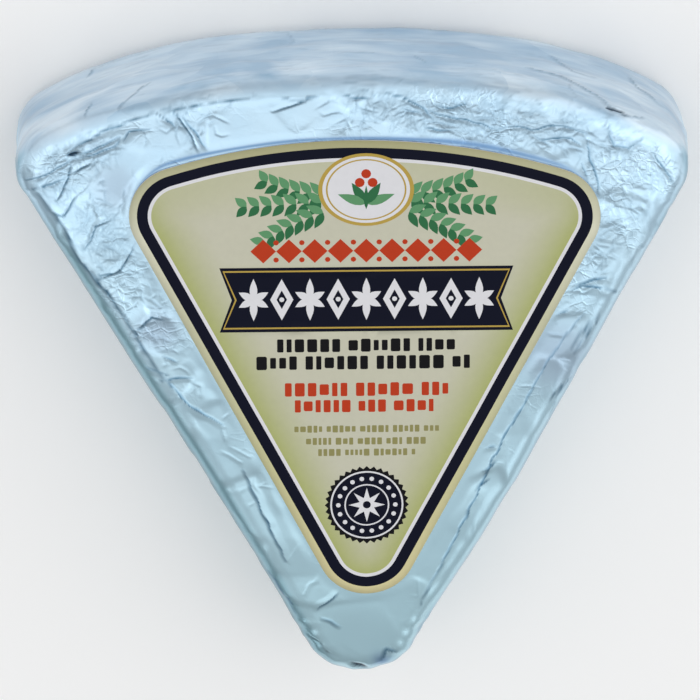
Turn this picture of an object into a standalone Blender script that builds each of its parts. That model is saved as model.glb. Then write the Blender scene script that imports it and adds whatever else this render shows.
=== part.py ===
"""A wedge of blue cheese wrapped in pale blue foil, lying on its back with its paper label up.

The wedge is one slice of a low round wheel. Two flat cut sides meet at a rounded tip, and
the curved rind closes the third side. The foil is drawn tight over the cheese: it is creased
all over, gathered along the edge of the rind, and pleated round the tip. The label is a
sticker on the face between the two cut sides.

Metres, +Z up. The tip points along -Y, the rind faces +Y, and the wedge rests on z = 0 with
the middle of its box above the origin.
"""

import math

import bmesh
import bpy
import numpy as np
from mathutils import Matrix, Vector
from mathutils.geometry import delaunay_2d_cdt
from mathutils.kdtree import KDTree

MM = 0.001

# The slice, measured from the sharp point where its two cut sides would meet
RIND_DISTANCE = 123.6 * MM
RIND_RADIUS = 153.0 * MM
RIND_SHIFT = -1.65 * MM
HALF_ANGLE = math.radians(29.2)
THICKNESS = 28.0 * MM
TIP_RADIUS = 11.0 * MM
CORNER_RADIUS = 6.9 * MM
FACE_EDGE_RADIUS = 4.2 * MM
BACK_EDGE_RADIUS = 4.0 * MM

# Soft cheese doesn't keep its cut sides straight: (distance from the sharp point, reach,
# how far the left side and the right side move to +X) in millimetres
BULGES = (
    (8, 9, -0.7, 0.3),
    (20, 9, -0.3, -1.0),
    (50, 20, 0.4, 0.4),
    (82, 16, 0.15, -0.35),
    (106, 12, 0.7, -1.6),
)
SIDE_BLEND = 8.0 * MM

# The rind stands out most at its shoulders, between its middle and its corners
SHOULDER = 0.6 * MM
SHOULDER_SPAN = 47.0 * MM
RIND_ZONE = (85.0 * MM, 100.0 * MM)

# Corners of the face that have slumped: (x, y, reach, drop) in millimetres
SLUMPS = ((-58, 108, 24, 3.0), (56, 108, 16, 1.0), (0, 8, 18, 0.8))

# The label, with its own sharp point on the face of the slice
LABEL_POINT = (0.4 * MM, 17.6 * MM)
LABEL_TURN = math.radians(-0.7)
LABEL_LENGTH = 94.7 * MM
LABEL_HALF_ANGLE = math.radians(27.2)
LABEL_ARC_RADIUS = 112.0 * MM
LABEL_ARC_SHIFT = -1.5 * MM
LABEL_TIP_RADIUS = 8.7 * MM
LABEL_CORNER_RADIUS = 9.0 * MM
LABEL_THICKNESS = 0.4 * MM
GAP = 0.3 * MM

# The foil's relief, which is lower on the sides than on the face. The fold points are on
# the face, from the slice's sharp point
CREASE_CELL = 7.0 * MM
CREASE_SLOPE = 0.13
CREASE_BLEND = 0.9 * MM
PUCKER_CELL = 4.6 * MM
PUCKER_SLOPE = 0.24
PUCKER_REACH = 7.0 * MM
SIDE_SHARE = 0.4
RELIEF_START = 1.5 * MM
RELIEF_FULL = 6.0 * MM
PLEAT_COUNT = 9
PLEAT_UNEVENNESS = 0.15
PLEAT_DEPTH = 0.4 * MM
PLEAT_REACH = 16.0 * MM
FOLD_WIDTH = 3.2 * MM
FOLD_END = 0.1
FOLDS = (
    # (x, y) of the points along the fold in millimetres, then its height
    (((36, 77), (26, 60), (20, 48), (15, 37), (10, 26)), 0.65),
    (((-55, 101), (-45, 88), (-34, 69), (-21, 47)), 0.60),
    (((-31, 119), (-28, 114), (-26, 110)), 0.70),
    (((-33, 62), (-26, 58), (-18, 54)), 0.55),
    (((34, 122), (40, 119), (46, 115)), 0.60),
    (((20, 116), (28, 114), (37, 110)), 0.60),
    (((38, 117), (43, 110), (46, 100)), 0.55),
    (((-53, 107), (-46, 111), (-38, 114)), 0.60),
    (((-11, 20), (-7, 16), (-3, 13)), 0.50),
    (((36, 82), (41, 82), (46, 80)), 0.50),
)

# Spacing of the mesh points: open foil, and the foil that the label hides
STEP = 1.75 * MM
HIDDEN_STEP = 6.0 * MM
RIM_MARGIN = 0.6
SAME_POINT = 1e-9
WALL_RINGS = 9
EDGE_RINGS = 3
SHARP_ANGLE = math.radians(25)
SEED = 11


def arc(centre, radius, start, end, step):
    """Points and outward normals along a circular arc, leaving out its last point."""
    count = max(2, math.ceil(abs(end - start) * radius / step))
    found = []
    for i in range(count):
        angle = start + (end - start) * i / count
        normal = Vector((math.cos(angle), math.sin(angle)))
        found.append((Vector(centre) + radius * normal, normal))
    return found


def straight(start, end, normal, step):
    """Points along a straight side, leaving out its last point."""
    count = max(1, round((end - start).length / step))
    return [(start.lerp(end, i / count), normal) for i in range(count)]


def corner_centre(out, arc_centre, reach, corner_radius):
    """The centre that keeps corner_radius from a side, and reach from the arc's centre."""
    side = Vector((abs(out.y) * math.copysign(1, out.x), abs(out.x)))
    away = -corner_radius * out - arc_centre
    along = -away.dot(side) + math.sqrt(away.dot(side) ** 2 - away.dot(away) + reach**2)
    return along * side - corner_radius * out


def slice_outline(length, half, arc_radius, arc_shift, tip_radius, corner_radius, step):
    """The rounded outline of a slice, counter-clockwise, with its sharp point at (0, 0)."""
    arc_centre = Vector((arc_shift, length - arc_radius))
    right = Vector((math.cos(half), -math.sin(half)))
    left = Vector((-right.x, right.y))
    reach = arc_radius - corner_radius
    right_corner = corner_centre(right, arc_centre, reach, corner_radius)
    left_corner = corner_centre(left, arc_centre, reach, corner_radius)
    right_turn = math.atan2(*(right_corner - arc_centre).yx)
    left_turn = math.atan2(*(left_corner - arc_centre).yx)
    tip = Vector((0, tip_radius / math.sin(half)))
    return (
        arc(tip, tip_radius, math.pi + half, 2 * math.pi - half, step)
        + straight(tip + tip_radius * right, right_corner + corner_radius * right, right, step)
        + arc(right_corner, corner_radius, -half, right_turn, step)
        + arc(arc_centre, arc_radius, right_turn, left_turn, step)
        + arc(left_corner, corner_radius, left_turn, math.pi + half, step)
        + straight(left_corner + corner_radius * left, tip + tip_radius * left, left, step)
    )


def wedge_outline(step):
    """The outline of the whole slice."""
    return slice_outline(
        RIND_DISTANCE, HALF_ANGLE, RIND_RADIUS, RIND_SHIFT, TIP_RADIUS, CORNER_RADIUS, step
    )


def label_outline(step):
    """The outline of the label, set in its place on the face."""
    found = slice_outline(
        LABEL_LENGTH,
        LABEL_HALF_ANGLE,
        LABEL_ARC_RADIUS,
        LABEL_ARC_SHIFT,
        LABEL_TIP_RADIUS,
        LABEL_CORNER_RADIUS,
        step,
    )
    turn = Matrix.Rotation(LABEL_TURN, 2)
    return [(turn @ point + Vector(LABEL_POINT), turn @ normal) for point, normal in found]


def signed_distance(point, outline):
    """How far a point is inside a closed outline; negative outside it."""
    nearest = min(outline, key=lambda place: (place[0] - point).length_squared)
    return (nearest[0] - point).dot(nearest[1])


def edge_profile():
    """(inset, height, slant) of each ring up the side: slant 0 faces out and 1 faces up."""
    rings = []
    for i in range(EDGE_RINGS):
        angle = math.pi / 2 * (1 - i / EDGE_RINGS)
        inset = BACK_EDGE_RADIUS * (1 - math.cos(angle))
        rings.append((inset, BACK_EDGE_RADIUS * (1 - math.sin(angle)), -math.sin(angle)))
    low = BACK_EDGE_RADIUS
    high = THICKNESS - FACE_EDGE_RADIUS
    for i in range(WALL_RINGS):
        rings.append((0, low + (high - low) * i / WALL_RINGS, 0))
    for i in range(EDGE_RINGS + 1):
        angle = math.pi / 2 * i / EDGE_RINGS
        inset = FACE_EDGE_RADIUS * (1 - math.cos(angle))
        rings.append((inset, high + FACE_EDGE_RADIUS * math.sin(angle), math.sin(angle)))
    return rings


def face_lattice(outline, label):
    """Points of a triangular lattice inside the face, wide apart where the label hides them."""
    found = []
    for step, hidden in ((STEP, False), (HIDDEN_STEP, True)):
        row_height = step * math.sqrt(3) / 2
        for row in range(math.ceil(RIND_DISTANCE / row_height)):
            shift = 0.5 * step if row % 2 else 0
            count = math.ceil(RIND_DISTANCE / 2 / step)
            for column in range(-count, count + 1):
                point = Vector((column * step + shift, row * row_height))
                inside = signed_distance(point, outline) - FACE_EDGE_RADIUS
                under = signed_distance(point, label) - STEP
                if hidden:
                    wanted = under > RIM_MARGIN * step
                else:
                    wanted = under <= 0
                if wanted and inside > RIM_MARGIN * STEP:
                    found.append(point)
    return found


def cell_tree(cell, seed):
    """Scattered middles of the foil's flat facets, with the tilt of each facet."""
    draw = np.random.default_rng(seed)
    low = np.array((-RIND_DISTANCE / 2, 0, 0))
    high = np.array((RIND_DISTANCE / 2, RIND_DISTANCE, THICKNESS))
    count = int(np.prod(high - low) / cell**3)
    middles = draw.uniform(low, high, (count, 3))
    tilts = draw.normal(size=(count, 3))
    tilts /= np.linalg.norm(tilts, axis=1)[:, None]
    tree = KDTree(count)
    for index, middle in enumerate(middles):
        tree.insert(middle, index)
    tree.balance()
    return tree, tilts


def facet_relief(point, cells, slope):
    """Height of the foil's facets at a point: small tilted planes that meet in creases."""
    tree, tilts = cells
    near = tree.find_n(point, 3)
    total = weight_sum = 0
    for middle, index, distance in near:
        weight = math.exp(-(distance - near[0][2]) / CREASE_BLEND)
        total += weight * slope * (point - middle).dot(Vector(tilts[index]))
        weight_sum += weight
    return total / weight_sum


def fold_relief(point):
    """Height of the long folds: narrow tents that run from point to point and die out."""
    height = 0
    for places, rise in FOLDS:
        lengths = [math.dist(a, b) for a, b in zip(places, places[1:])]
        run = 0
        for a, b, length in zip(places, places[1:], lengths):
            start = Vector(a) * MM
            way = (Vector(b) - Vector(a)) * MM
            share = min(1, max(0, (point.xy - start).dot(way) / way.length_squared))
            away = (start + share * way - point.xy).length
            along = (run + share * length) / sum(lengths)
            fade = math.sin(math.pi * (FOLD_END + (1 - 2 * FOLD_END) * along))
            tent = max(0, 1 - away / FOLD_WIDTH) * fade
            height = max(height, rise * MM * tent)
            run += length
    return height


def pleat_relief(point):
    """Gathers of the foil that fan out from the tip and fade with the distance from it."""
    tip = Vector((0, TIP_RADIUS / math.sin(HALF_ANGLE)))
    away = point.xy - tip
    fade = max(0, 1 - (away.length - 0.5 * TIP_RADIUS) / PLEAT_REACH) if away.y < 0 else 0
    around = math.atan2(away.x, -away.y)
    uneven = PLEAT_UNEVENNESS * math.sin(5 * around)
    wave = abs((around * PLEAT_COUNT / math.pi + uneven) % 1 - 0.5) * 2
    return PLEAT_DEPTH * min(1, fade) * (wave - 0.5)


def bulge(point):
    """How far the sides have moved along X, and the rind along Y, at a point."""
    right_share = 0.5 + 0.5 * min(1, max(-1, point.x / SIDE_BLEND))
    aside = 0
    for at, reach, left, right in BULGES:
        near = math.exp(-(((point.y / MM - at) / reach) ** 2))
        aside += near * MM * (left + (right - left) * right_share)
    span = (point.x / SHOULDER_SPAN) ** 2
    out = SHOULDER * 4 * span * (1 - span) * smooth_step(point.y, *RIND_ZONE)
    return Vector((aside, out, 0))


def slump(point):
    """How far the face has sunk at a point near one of its corners."""
    drop = 0
    for x, y, reach, depth in SLUMPS:
        near = max(0, 1 - (point.xy - Vector((x, y)) * MM).length / (reach * MM))
        drop += depth * MM * near * near * (3 - 2 * near)
    return drop * point.z / THICKNESS


def smooth_step(value, low, high):
    """0 below low, 1 above high, and a smooth rise between."""
    share = min(1, max(0, (value - low) / (high - low)))
    return share * share * (3 - 2 * share)


class Foil:
    """Gives every point of the plain slice its place on the creased foil."""

    def __init__(self):
        self.outline = wedge_outline(STEP / 2)
        self.label = label_outline(STEP / 2)
        self.creases = cell_tree(CREASE_CELL, SEED)
        self.puckers = cell_tree(PUCKER_CELL, SEED + 1)

    def place(self, point, normal):
        """The point moved along its normal by the relief, held flat under the label."""
        open_foil = 1 - smooth_step(signed_distance(point.xy, self.label), -2 * STEP, -STEP)
        if point.z < THICKNESS - FACE_EDGE_RADIUS:
            open_foil = 1
        rind_edge = Vector((0, RIND_DISTANCE - RIND_RADIUS))
        from_edge = abs((point.xy - rind_edge).length - (RIND_RADIUS - FACE_EDGE_RADIUS))
        puckered = max(0, 1 - from_edge / PUCKER_REACH) * smooth_step(
            point.z, THICKNESS - 3 * FACE_EDGE_RADIUS, THICKNESS - FACE_EDGE_RADIUS
        )
        height = facet_relief(point, self.creases, CREASE_SLOPE)
        height += puckered * facet_relief(point, self.puckers, PUCKER_SLOPE)
        height += pleat_relief(point)
        if point.z > THICKNESS / 2:
            height += fold_relief(point)
        rise = smooth_step(point.z, RELIEF_START, RELIEF_FULL)
        rise *= SIDE_SHARE + (1 - SIDE_SHARE) * max(0, normal.z)
        placed = point + normal * height * rise * open_foil
        placed.z -= slump(point) * open_foil
        return placed + bulge(point)


def build_foil():
    """The closed foil body: rings up the side, a triangulated face, and a flat back."""
    foil = Foil()
    outline = wedge_outline(STEP)
    mesh = bmesh.new()
    rings = []
    for inset, height, slant in edge_profile():
        ring = []
        for place, out in outline:
            flat = place - inset * out
            normal = Vector((*(out * math.cos(math.asin(slant))), slant))
            point = foil.place(Vector((*flat, height)), normal)
            ring.append(mesh.verts.new(point))
        rings.append(ring)
    count = len(outline)
    for low, high in zip(rings, rings[1:]):
        for i in range(count):
            j = (i + 1) % count
            mesh.faces.new((low[i], low[j], high[j], high[i]))
    mesh.faces.new(reversed(rings[0]))
    rim = [place - FACE_EDGE_RADIUS * out for place, out in outline]
    inner = face_lattice(outline, label_outline(STEP))
    edges = [(i, (i + 1) % count) for i in range(count)]
    flat_points, _, triangles, *_ = delaunay_2d_cdt(rim + inner, edges, [], 1, SAME_POINT)
    up = Vector((0, 0, 1))
    verts = list(rings[-1])
    for point in flat_points[count:]:
        verts.append(mesh.verts.new(foil.place(Vector((*point, THICKNESS)), up)))
    for triangle in triangles:
        mesh.faces.new([verts[i] for i in triangle])
    bmesh.ops.triangulate(mesh, faces=[face for face in mesh.faces if len(face.verts) > 3])
    return mesh


def build_label():
    """The label: a thin flat plate just clear of the foil, with softened upper edges."""
    mesh = bmesh.new()
    bottom = THICKNESS + GAP
    soft = 0.3 * LABEL_THICKNESS
    levels = ((0, 0), (0, LABEL_THICKNESS - soft), (soft, LABEL_THICKNESS))
    outline = label_outline(STEP)
    rings = []
    for inset, rise in levels:
        ring = []
        for place, out in outline:
            ring.append(mesh.verts.new((*(place - inset * out), bottom + rise)))
        rings.append(ring)
    count = len(outline)
    for low, high in zip(rings, rings[1:]):
        for i in range(count):
            j = (i + 1) % count
            mesh.faces.new((low[i], low[j], high[j], high[i]))
    mesh.faces.new(reversed(rings[0]))
    mesh.faces.new(rings[-1])
    bmesh.ops.triangulate(mesh, faces=mesh.faces[:])
    return mesh


def material(name, colour, roughness, metallic):
    """A Principled material of one plain finish."""
    made = bpy.data.materials.new(name)
    made.use_nodes = True
    shader = made.node_tree.nodes["Principled BSDF"]
    shader.inputs["Base Color"].default_value = (*colour, 1)
    shader.inputs["Roughness"].default_value = roughness
    shader.inputs["Metallic"].default_value = metallic
    return made


def add_object(name, mesh, finish):
    """Turns the mesh into a named object of the scene, shaded smooth but for its creases."""
    data = bpy.data.meshes.new(name)
    mesh.to_mesh(data)
    mesh.free()
    data.materials.append(finish)
    data.shade_smooth()
    data.set_sharp_from_angle(angle=SHARP_ANGLE)
    made = bpy.data.objects.new(name, data)
    bpy.context.scene.collection.objects.link(made)
    return made


def centre(objects):
    """Moves the meshes so that the middle of the foil's box is above the origin."""
    points = np.array([vertex.co for vertex in objects[0].data.vertices])
    middle = (points.min(axis=0) + points.max(axis=0)) / 2
    for made in objects:
        for vertex in made.data.vertices:
            vertex.co.x -= middle[0]
            vertex.co.y -= middle[1]


def main():
    for old in list(bpy.data.objects):
        bpy.data.objects.remove(old)
    foil_finish = material("pale_blue_foil", (0.42, 0.60, 0.72), 0.3, 0.85)
    label_finish = material("printed_paper", (0.56, 0.54, 0.40), 0.45, 0.0)
    wrap = add_object("foil_wrap", build_foil(), foil_finish)
    label = add_object("label", build_label(), label_finish)
    centre([wrap, label])
    print(len(wrap.data.polygons), "foil triangles,", len(label.data.polygons), "label triangles")


main()
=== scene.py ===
# %% [markdown]
# # A wedge of blue cheese in foil
# The object is a slice of a low round cheese, wrapped tight in thin pale blue foil, with a
# paper sticker on its face. This lesson builds two pieces round a finished solid model: the
# creased foil and the printed label. The solid model gives the size and place of both, and
# nothing here moves or resizes it.

# %% Load the solid model
import itertools
import math
from types import SimpleNamespace

import bpy
import numpy as np
from mathutils import Matrix, Vector
from mathutils.geometry import delaunay_2d_cdt


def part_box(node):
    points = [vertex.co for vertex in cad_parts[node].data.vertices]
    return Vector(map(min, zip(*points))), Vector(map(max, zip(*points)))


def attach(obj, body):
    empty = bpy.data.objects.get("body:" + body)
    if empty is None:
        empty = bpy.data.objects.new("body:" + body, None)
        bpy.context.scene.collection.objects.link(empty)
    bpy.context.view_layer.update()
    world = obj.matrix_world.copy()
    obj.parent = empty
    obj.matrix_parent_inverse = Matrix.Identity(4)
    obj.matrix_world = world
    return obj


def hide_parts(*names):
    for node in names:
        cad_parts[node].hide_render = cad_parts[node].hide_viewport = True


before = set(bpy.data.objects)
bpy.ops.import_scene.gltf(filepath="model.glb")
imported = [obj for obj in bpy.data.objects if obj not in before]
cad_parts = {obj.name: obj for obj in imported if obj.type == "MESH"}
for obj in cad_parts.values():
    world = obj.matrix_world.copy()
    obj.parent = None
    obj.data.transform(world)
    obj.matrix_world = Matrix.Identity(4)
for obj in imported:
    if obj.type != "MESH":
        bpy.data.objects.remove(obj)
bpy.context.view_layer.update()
MM = 0.001
print("nodes:", sorted(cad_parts))

# %% [markdown]
# ## Two small helpers for materials
# Colours are written as sRGB hex values, the way a paint program shows them, and a shader
# wants linear light, so one function turns one into the other. A node tree could be wired
# with a function for each kind of node, but one that adds any node with its settings and
# links keeps every material below readable from top to bottom.

# %% Colours and nodes
def linear(hex_colour):
    """The linear red, green, blue and alpha of an sRGB hex colour."""
    shares = [int(hex_colour[i : i + 2], 16) / 255 for i in (1, 3, 5)]
    curve = [s / 12.92 if s <= 0.04045 else ((s + 0.055) / 1.055) ** 2.4 for s in shares]
    return (*curve, 1)


def add_node(tree, kind, settings):
    """Adds a node; a setting is a property, an input's own value or another node's output."""
    node = tree.nodes.new(kind)
    for name, value in settings.items():
        if isinstance(value, bpy.types.NodeSocket):
            tree.links.new(value, node.inputs[name])
        elif isinstance(name, str) and hasattr(node, name):
            setattr(node, name, value)
        else:
            node.inputs[name].default_value = value
    return node


def new_material(name, settings):
    """A node material with its Principled shader's plain settings made."""
    made = bpy.data.materials.new(name)
    made.use_nodes = True
    shader = made.node_tree.nodes["Principled BSDF"]
    for socket, value in settings.items():
        shader.inputs[socket].default_value = value
    return made, made.node_tree, shader


print("pure white is", [round(value, 3) for value in linear("#FFFFFF")])

# %% [markdown]
# ## Where the slice lies
# The slice was cut from a wheel, so it is easiest to describe from the sharp point where its
# two cut sides would meet. Here every place is in millimetres from that point, with +Y
# towards the rind and z = 0 on the table. The label's outline is worked out first, because
# its box in the solid model then tells where the sharp point is in the model's own frame.

# %% The outline of a slice
RIND_DISTANCE = 123.6
RIND_RADIUS = 153.0
RIND_SHIFT = -1.65
HALF_ANGLE = math.radians(29.2)
THICKNESS = 28.0
TIP_RADIUS = 11.0
CORNER_RADIUS = 6.9
FACE_EDGE_RADIUS = 4.2
BACK_EDGE_RADIUS = 4.0

LABEL_POINT = np.array((0.4, 17.6))
LABEL_TURN = math.radians(-0.7)
LABEL_LENGTH = 94.7
LABEL_HALF_ANGLE = math.radians(27.2)
LABEL_ARC_RADIUS = 112.0
LABEL_ARC_SHIFT = -1.5
LABEL_TIP_RADIUS = 8.7
LABEL_CORNER_RADIUS = 9.0


def arc(centre, radius, start, end, step):
    """Points and outward normals along an arc, without its last point."""
    count = max(2, math.ceil(abs(end - start) * radius / step))
    angles = start + (end - start) * np.arange(count) / count
    normals = np.column_stack((np.cos(angles), np.sin(angles)))
    return np.asarray(centre) + radius * normals, normals


def straight(start, end, normal, step):
    """Points and normals along a straight side, without its last point."""
    count = max(1, round(np.linalg.norm(end - start) / step))
    shares = np.arange(count)[:, None] / count
    return start + (end - start) * shares, np.repeat(normal[None], count, axis=0)


def corner_centre(out, arc_centre, reach, radius):
    """The centre that keeps radius from a cut side and reach from the rind arc's centre."""
    side = np.array((abs(out[1]) * math.copysign(1, out[0]), abs(out[0])))
    away = -radius * out - arc_centre
    along = -away @ side + math.sqrt((away @ side) ** 2 - away @ away + reach**2)
    return along * side - radius * out


def slice_outline(length, half, arc_radius, arc_shift, tip_radius, corner_radius, steps):
    """The rounded outline of a slice; steps are the spacings on its ends and on its sides."""
    end_step, side_step = steps
    arc_centre = np.array((arc_shift, length - arc_radius))
    right = np.array((math.cos(half), -math.sin(half)))
    left = np.array((-right[0], right[1]))
    reach = arc_radius - corner_radius
    right_corner = corner_centre(right, arc_centre, reach, corner_radius)
    left_corner = corner_centre(left, arc_centre, reach, corner_radius)
    right_turn = math.atan2(*(right_corner - arc_centre)[::-1])
    left_turn = math.atan2(*(left_corner - arc_centre)[::-1])
    tip = np.array((0, tip_radius / math.sin(half)))
    parts = (
        arc(tip, tip_radius, math.pi + half, 2 * math.pi - half, end_step),
        straight(tip + tip_radius * right, right_corner + corner_radius * right, right, side_step),
        arc(right_corner, corner_radius, -half, right_turn, end_step),
        arc(arc_centre, arc_radius, right_turn, left_turn, end_step),
        arc(left_corner, corner_radius, left_turn, math.pi + half, end_step),
        straight(left_corner + corner_radius * left, tip + tip_radius * left, left, side_step),
    )
    return np.vstack([part[0] for part in parts]), np.vstack([part[1] for part in parts])


def wedge_outline(steps):
    """The outline of the whole slice."""
    return slice_outline(
        RIND_DISTANCE, HALF_ANGLE, RIND_RADIUS, RIND_SHIFT, TIP_RADIUS, CORNER_RADIUS, steps
    )


def from_label(points):
    """Points of the label's own frame, whose origin is its sharp point, set on the slice."""
    cosine, sine = math.cos(LABEL_TURN), math.sin(LABEL_TURN)
    return np.asarray(points) @ np.array(((cosine, sine), (-sine, cosine))) + LABEL_POINT


def label_outline(step):
    """The label's outline and normals in its own frame."""
    return slice_outline(
        LABEL_LENGTH,
        LABEL_HALF_ANGLE,
        LABEL_ARC_RADIUS,
        LABEL_ARC_SHIFT,
        LABEL_TIP_RADIUS,
        LABEL_CORNER_RADIUS,
        (step, step),
    )


label_low, label_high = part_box("label")
label_on_slice = from_label(label_outline(0.25)[0])
ORIGIN = np.array((*(np.array(label_low.xy) / MM - label_on_slice.min(axis=0)), 0))
print("the sharp point is at", ORIGIN.round(2), "mm in the model's frame")

# %% [markdown]
# ## The camera
# The picture is taken almost square on, from the rind's side: the line of sight leans 22
# degrees away from straight down, so the curved rind shows as a narrow band above the face.
# A long lens from 1.5 m keeps the two cut sides from converging any more than they do in
# the picture. The camera could be aimed by eye, but its place follows from three angles, one
# scale, and the pixel on which one known point of the slice lands.

# %% Set the camera
TILT = math.radians(22.0)
LEAN = math.radians(0.86)
ROLL = math.radians(0.92)
DISTANCE = 1500.0
PIXELS_PER_MM = 5.739
PICTURE_SIDE = 700
KNOWN_POINT = np.array((0.0, 65.0, 14.0))
KNOWN_PIXEL = np.array((359.0, 365.3))
SENSOR = 36.0


def camera_matrix():
    """The camera's place and axes, so that the known point lands on its pixel."""
    back = Vector((-math.sin(LEAN), math.sin(TILT) * math.cos(LEAN), math.cos(TILT) * math.cos(LEAN)))
    back.normalize()
    up = (Vector((0, 1, 0)) - back.y * back).normalized()
    right = up.cross(back)
    turned_right = right * math.cos(ROLL) - up * math.sin(ROLL)
    turned_up = right * math.sin(ROLL) + up * math.cos(ROLL)
    off = (Vector(KNOWN_PIXEL) - Vector((PICTURE_SIDE, PICTURE_SIDE)) / 2) / PIXELS_PER_MM
    aim = Vector(KNOWN_POINT + ORIGIN) - off.x * turned_right + off.y * turned_up
    eye = (aim + DISTANCE * back) * MM
    matrix = Matrix((turned_right, turned_up, back)).transposed().to_4x4()
    matrix.translation = eye
    return matrix


camera_data = bpy.data.cameras.new("camera")
camera_data.sensor_width = SENSOR
camera_data.lens = SENSOR * PIXELS_PER_MM * DISTANCE / PICTURE_SIDE
camera = bpy.data.objects.new("camera", camera_data)
camera.matrix_world = camera_matrix()
bpy.context.scene.collection.objects.link(camera)
bpy.context.scene.camera = camera
bpy.context.scene.view_settings.view_transform = "Standard"
print("lens in mm:", round(camera_data.lens, 1))

# %% [markdown]
# ## Floor and light
# The slice lies on a plain pale floor under soft studio light. Foil shows what is round it,
# so the light is planned as reflections. The camera leans towards the rind, so the face
# mirrors what is high up beyond the tip: the sky, and for its upper part the soft panel that
# hangs close over it. The rind stands upright and mirrors the floor, which gives it a greyer
# tone, and the cut sides mirror the two side panels. An even sky would do for paper, but it
# makes foil look like painted card, so this sky is brighter on two sides.

# %% Make the stage
FLOOR_SIDE = 60.0
# The sky's light along each axis: how far up the axis it changes, and from what to what
SKY = (("Z", 0.9, 0.35, 0.50), ("Y", 1.0, 0.0, 0.34), ("X", 1.0, 0.0, 0.20))
# Each soft panel: its name, place and aim in metres, size in metres and radiance
PANELS = (
    ("near_panel", (0.0, -0.02, 0.47), (0.0, -0.02, 0.0), (0.8, 0.30), 0.58),
    ("left_panel", (-1.2, 0.5, 1.1), (0.0, 0.0, 0.0), (2.2, 2.2), 0.34),
    ("right_panel", (1.2, 0.5, 1.1), (0.0, 0.0, 0.0), (2.2, 2.2), 0.50),
    ("left_strip", (-1.0, -0.9, 1.1), (0.0, 0.0, 0.0), (0.25, 0.8), 1.1),
    ("right_strip", (0.9, -1.0, 1.2), (0.0, 0.0, 0.0), (0.25, 0.8), 1.0),
)


def add_object(name, data):
    """Links a new object with this data into the scene."""
    made = bpy.data.objects.new(name, data)
    bpy.context.scene.collection.objects.link(made)
    return made


def build_floor():
    """A wide flat sheet of pale painted board."""
    half = FLOOR_SIDE / 2
    data = bpy.data.meshes.new("floor")
    corners = [(-half, -half, 0), (half, -half, 0), (half, half, 0), (-half, half, 0)]
    data.from_pydata(corners, [], [(0, 1, 2, 3)])
    paint, tree, shader = new_material("matt_white_paint", {"Roughness": 0.9})
    grain = add_node(tree, "ShaderNodeTexNoise", {"Scale": 40.0})
    tone = add_node(tree, "ShaderNodeValToRGB", {"Fac": grain.outputs["Fac"]})
    tone.color_ramp.elements[0].color = linear("#FAFAFA")
    tone.color_ramp.elements[1].color = linear("#FEFEFE")
    tree.links.new(tone.outputs["Color"], shader.inputs["Base Color"])
    data.materials.append(paint)
    return add_object("floor", data)


def add_panel(name, place, aim, size, power):
    """A rectangular soft light at a place, turned to its aim, in metres and watts."""
    data = bpy.data.lights.new(name, "AREA")
    data.shape = "RECTANGLE"
    data.size, data.size_y = size
    data.energy = power
    panel = add_object(name, data)
    panel.location = place
    panel.rotation_euler = (Vector(place) - Vector(aim)).to_track_quat("Z", "Y").to_euler()
    return panel


floor = build_floor()
world = bpy.data.worlds.new("studio")
world.use_nodes = True
tree = world.node_tree
direction = add_node(tree, "ShaderNodeTexCoord", {}).outputs["Generated"]
axes = add_node(tree, "ShaderNodeSeparateXYZ", {"Vector": direction})
strength = 0.0
for axis, reach, low, high in SKY:
    settings = {"From Max": reach, "To Min": low, "To Max": high, "Value": axes.outputs[axis]}
    part = add_node(tree, "ShaderNodeMapRange", settings).outputs["Result"]
    settings = {"operation": "ADD", 0: part, 1: strength}
    strength = add_node(tree, "ShaderNodeMath", settings).outputs["Value"]
tree.links.new(strength, tree.nodes["Background"].inputs["Strength"])
tree.nodes["Background"].inputs["Color"].default_value = linear("#FFFFFF")
bpy.context.scene.world = world
for name, place, aim, size, radiance in PANELS:
    add_panel(name, place, aim, size, radiance * math.pi * size[0] * size[1])

# %% [markdown]
# ## Creases from tilted planes
# Crushed foil is made of small flat facets that meet in sharp creases, because thin metal
# bends along a line and stays bent. Smooth noise makes it look like cloth or water. So the
# relief here scatters points through space, gives each one a plane with its own tilt, and
# lets every place on the foil take the plane of its nearest point, with a narrow blend
# where two planes meet.

# %% Facets
TABLE = 24


def facets(points, cell, sharpness, seed):
    """Height of the tilted planes at each point, for planes that all rise 1 in 1."""
    draw = np.random.default_rng(seed)
    jitter = draw.random((TABLE, TABLE, TABLE, 3))
    tilts = draw.normal(size=(TABLE, TABLE, TABLE, 3))
    tilts /= np.linalg.norm(tilts, axis=-1, keepdims=True)
    base = np.floor(points / cell).astype(int)
    total = np.zeros(len(points))
    weights = np.zeros(len(points))
    for offset in itertools.product((-1, 0, 1), repeat=3):
        corner = base + offset
        index = tuple((corner % TABLE).T)
        away = points - (corner + jitter[index]) * cell
        weight = np.exp(-np.linalg.norm(away, axis=1) * sharpness / cell)
        total += weight * (away * tilts[index]).sum(axis=1)
        weights += weight
    return total / weights


def rise(values, low, high):
    """0 below low, 1 above high, and a smooth rise between."""
    share = np.clip((values - low) / (high - low), 0, 1)
    return share * share * (3 - 2 * share)


sample = facets(np.random.default_rng(1).random((2000, 3)) * 50, 5.0, 14.0, 2)
print("facets 5 mm wide reach", round(float(np.abs(sample).max()), 2), "mm before their slope")

# %% [markdown]
# ## The long folds
# A sheet that is pulled round a wedge has more foil than it needs at the corners. The spare
# foil ends up in long folds, each a low step that is steep on one side and runs out gently
# on the other. The clearest ones in the picture are listed by their own points on the face.

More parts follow.
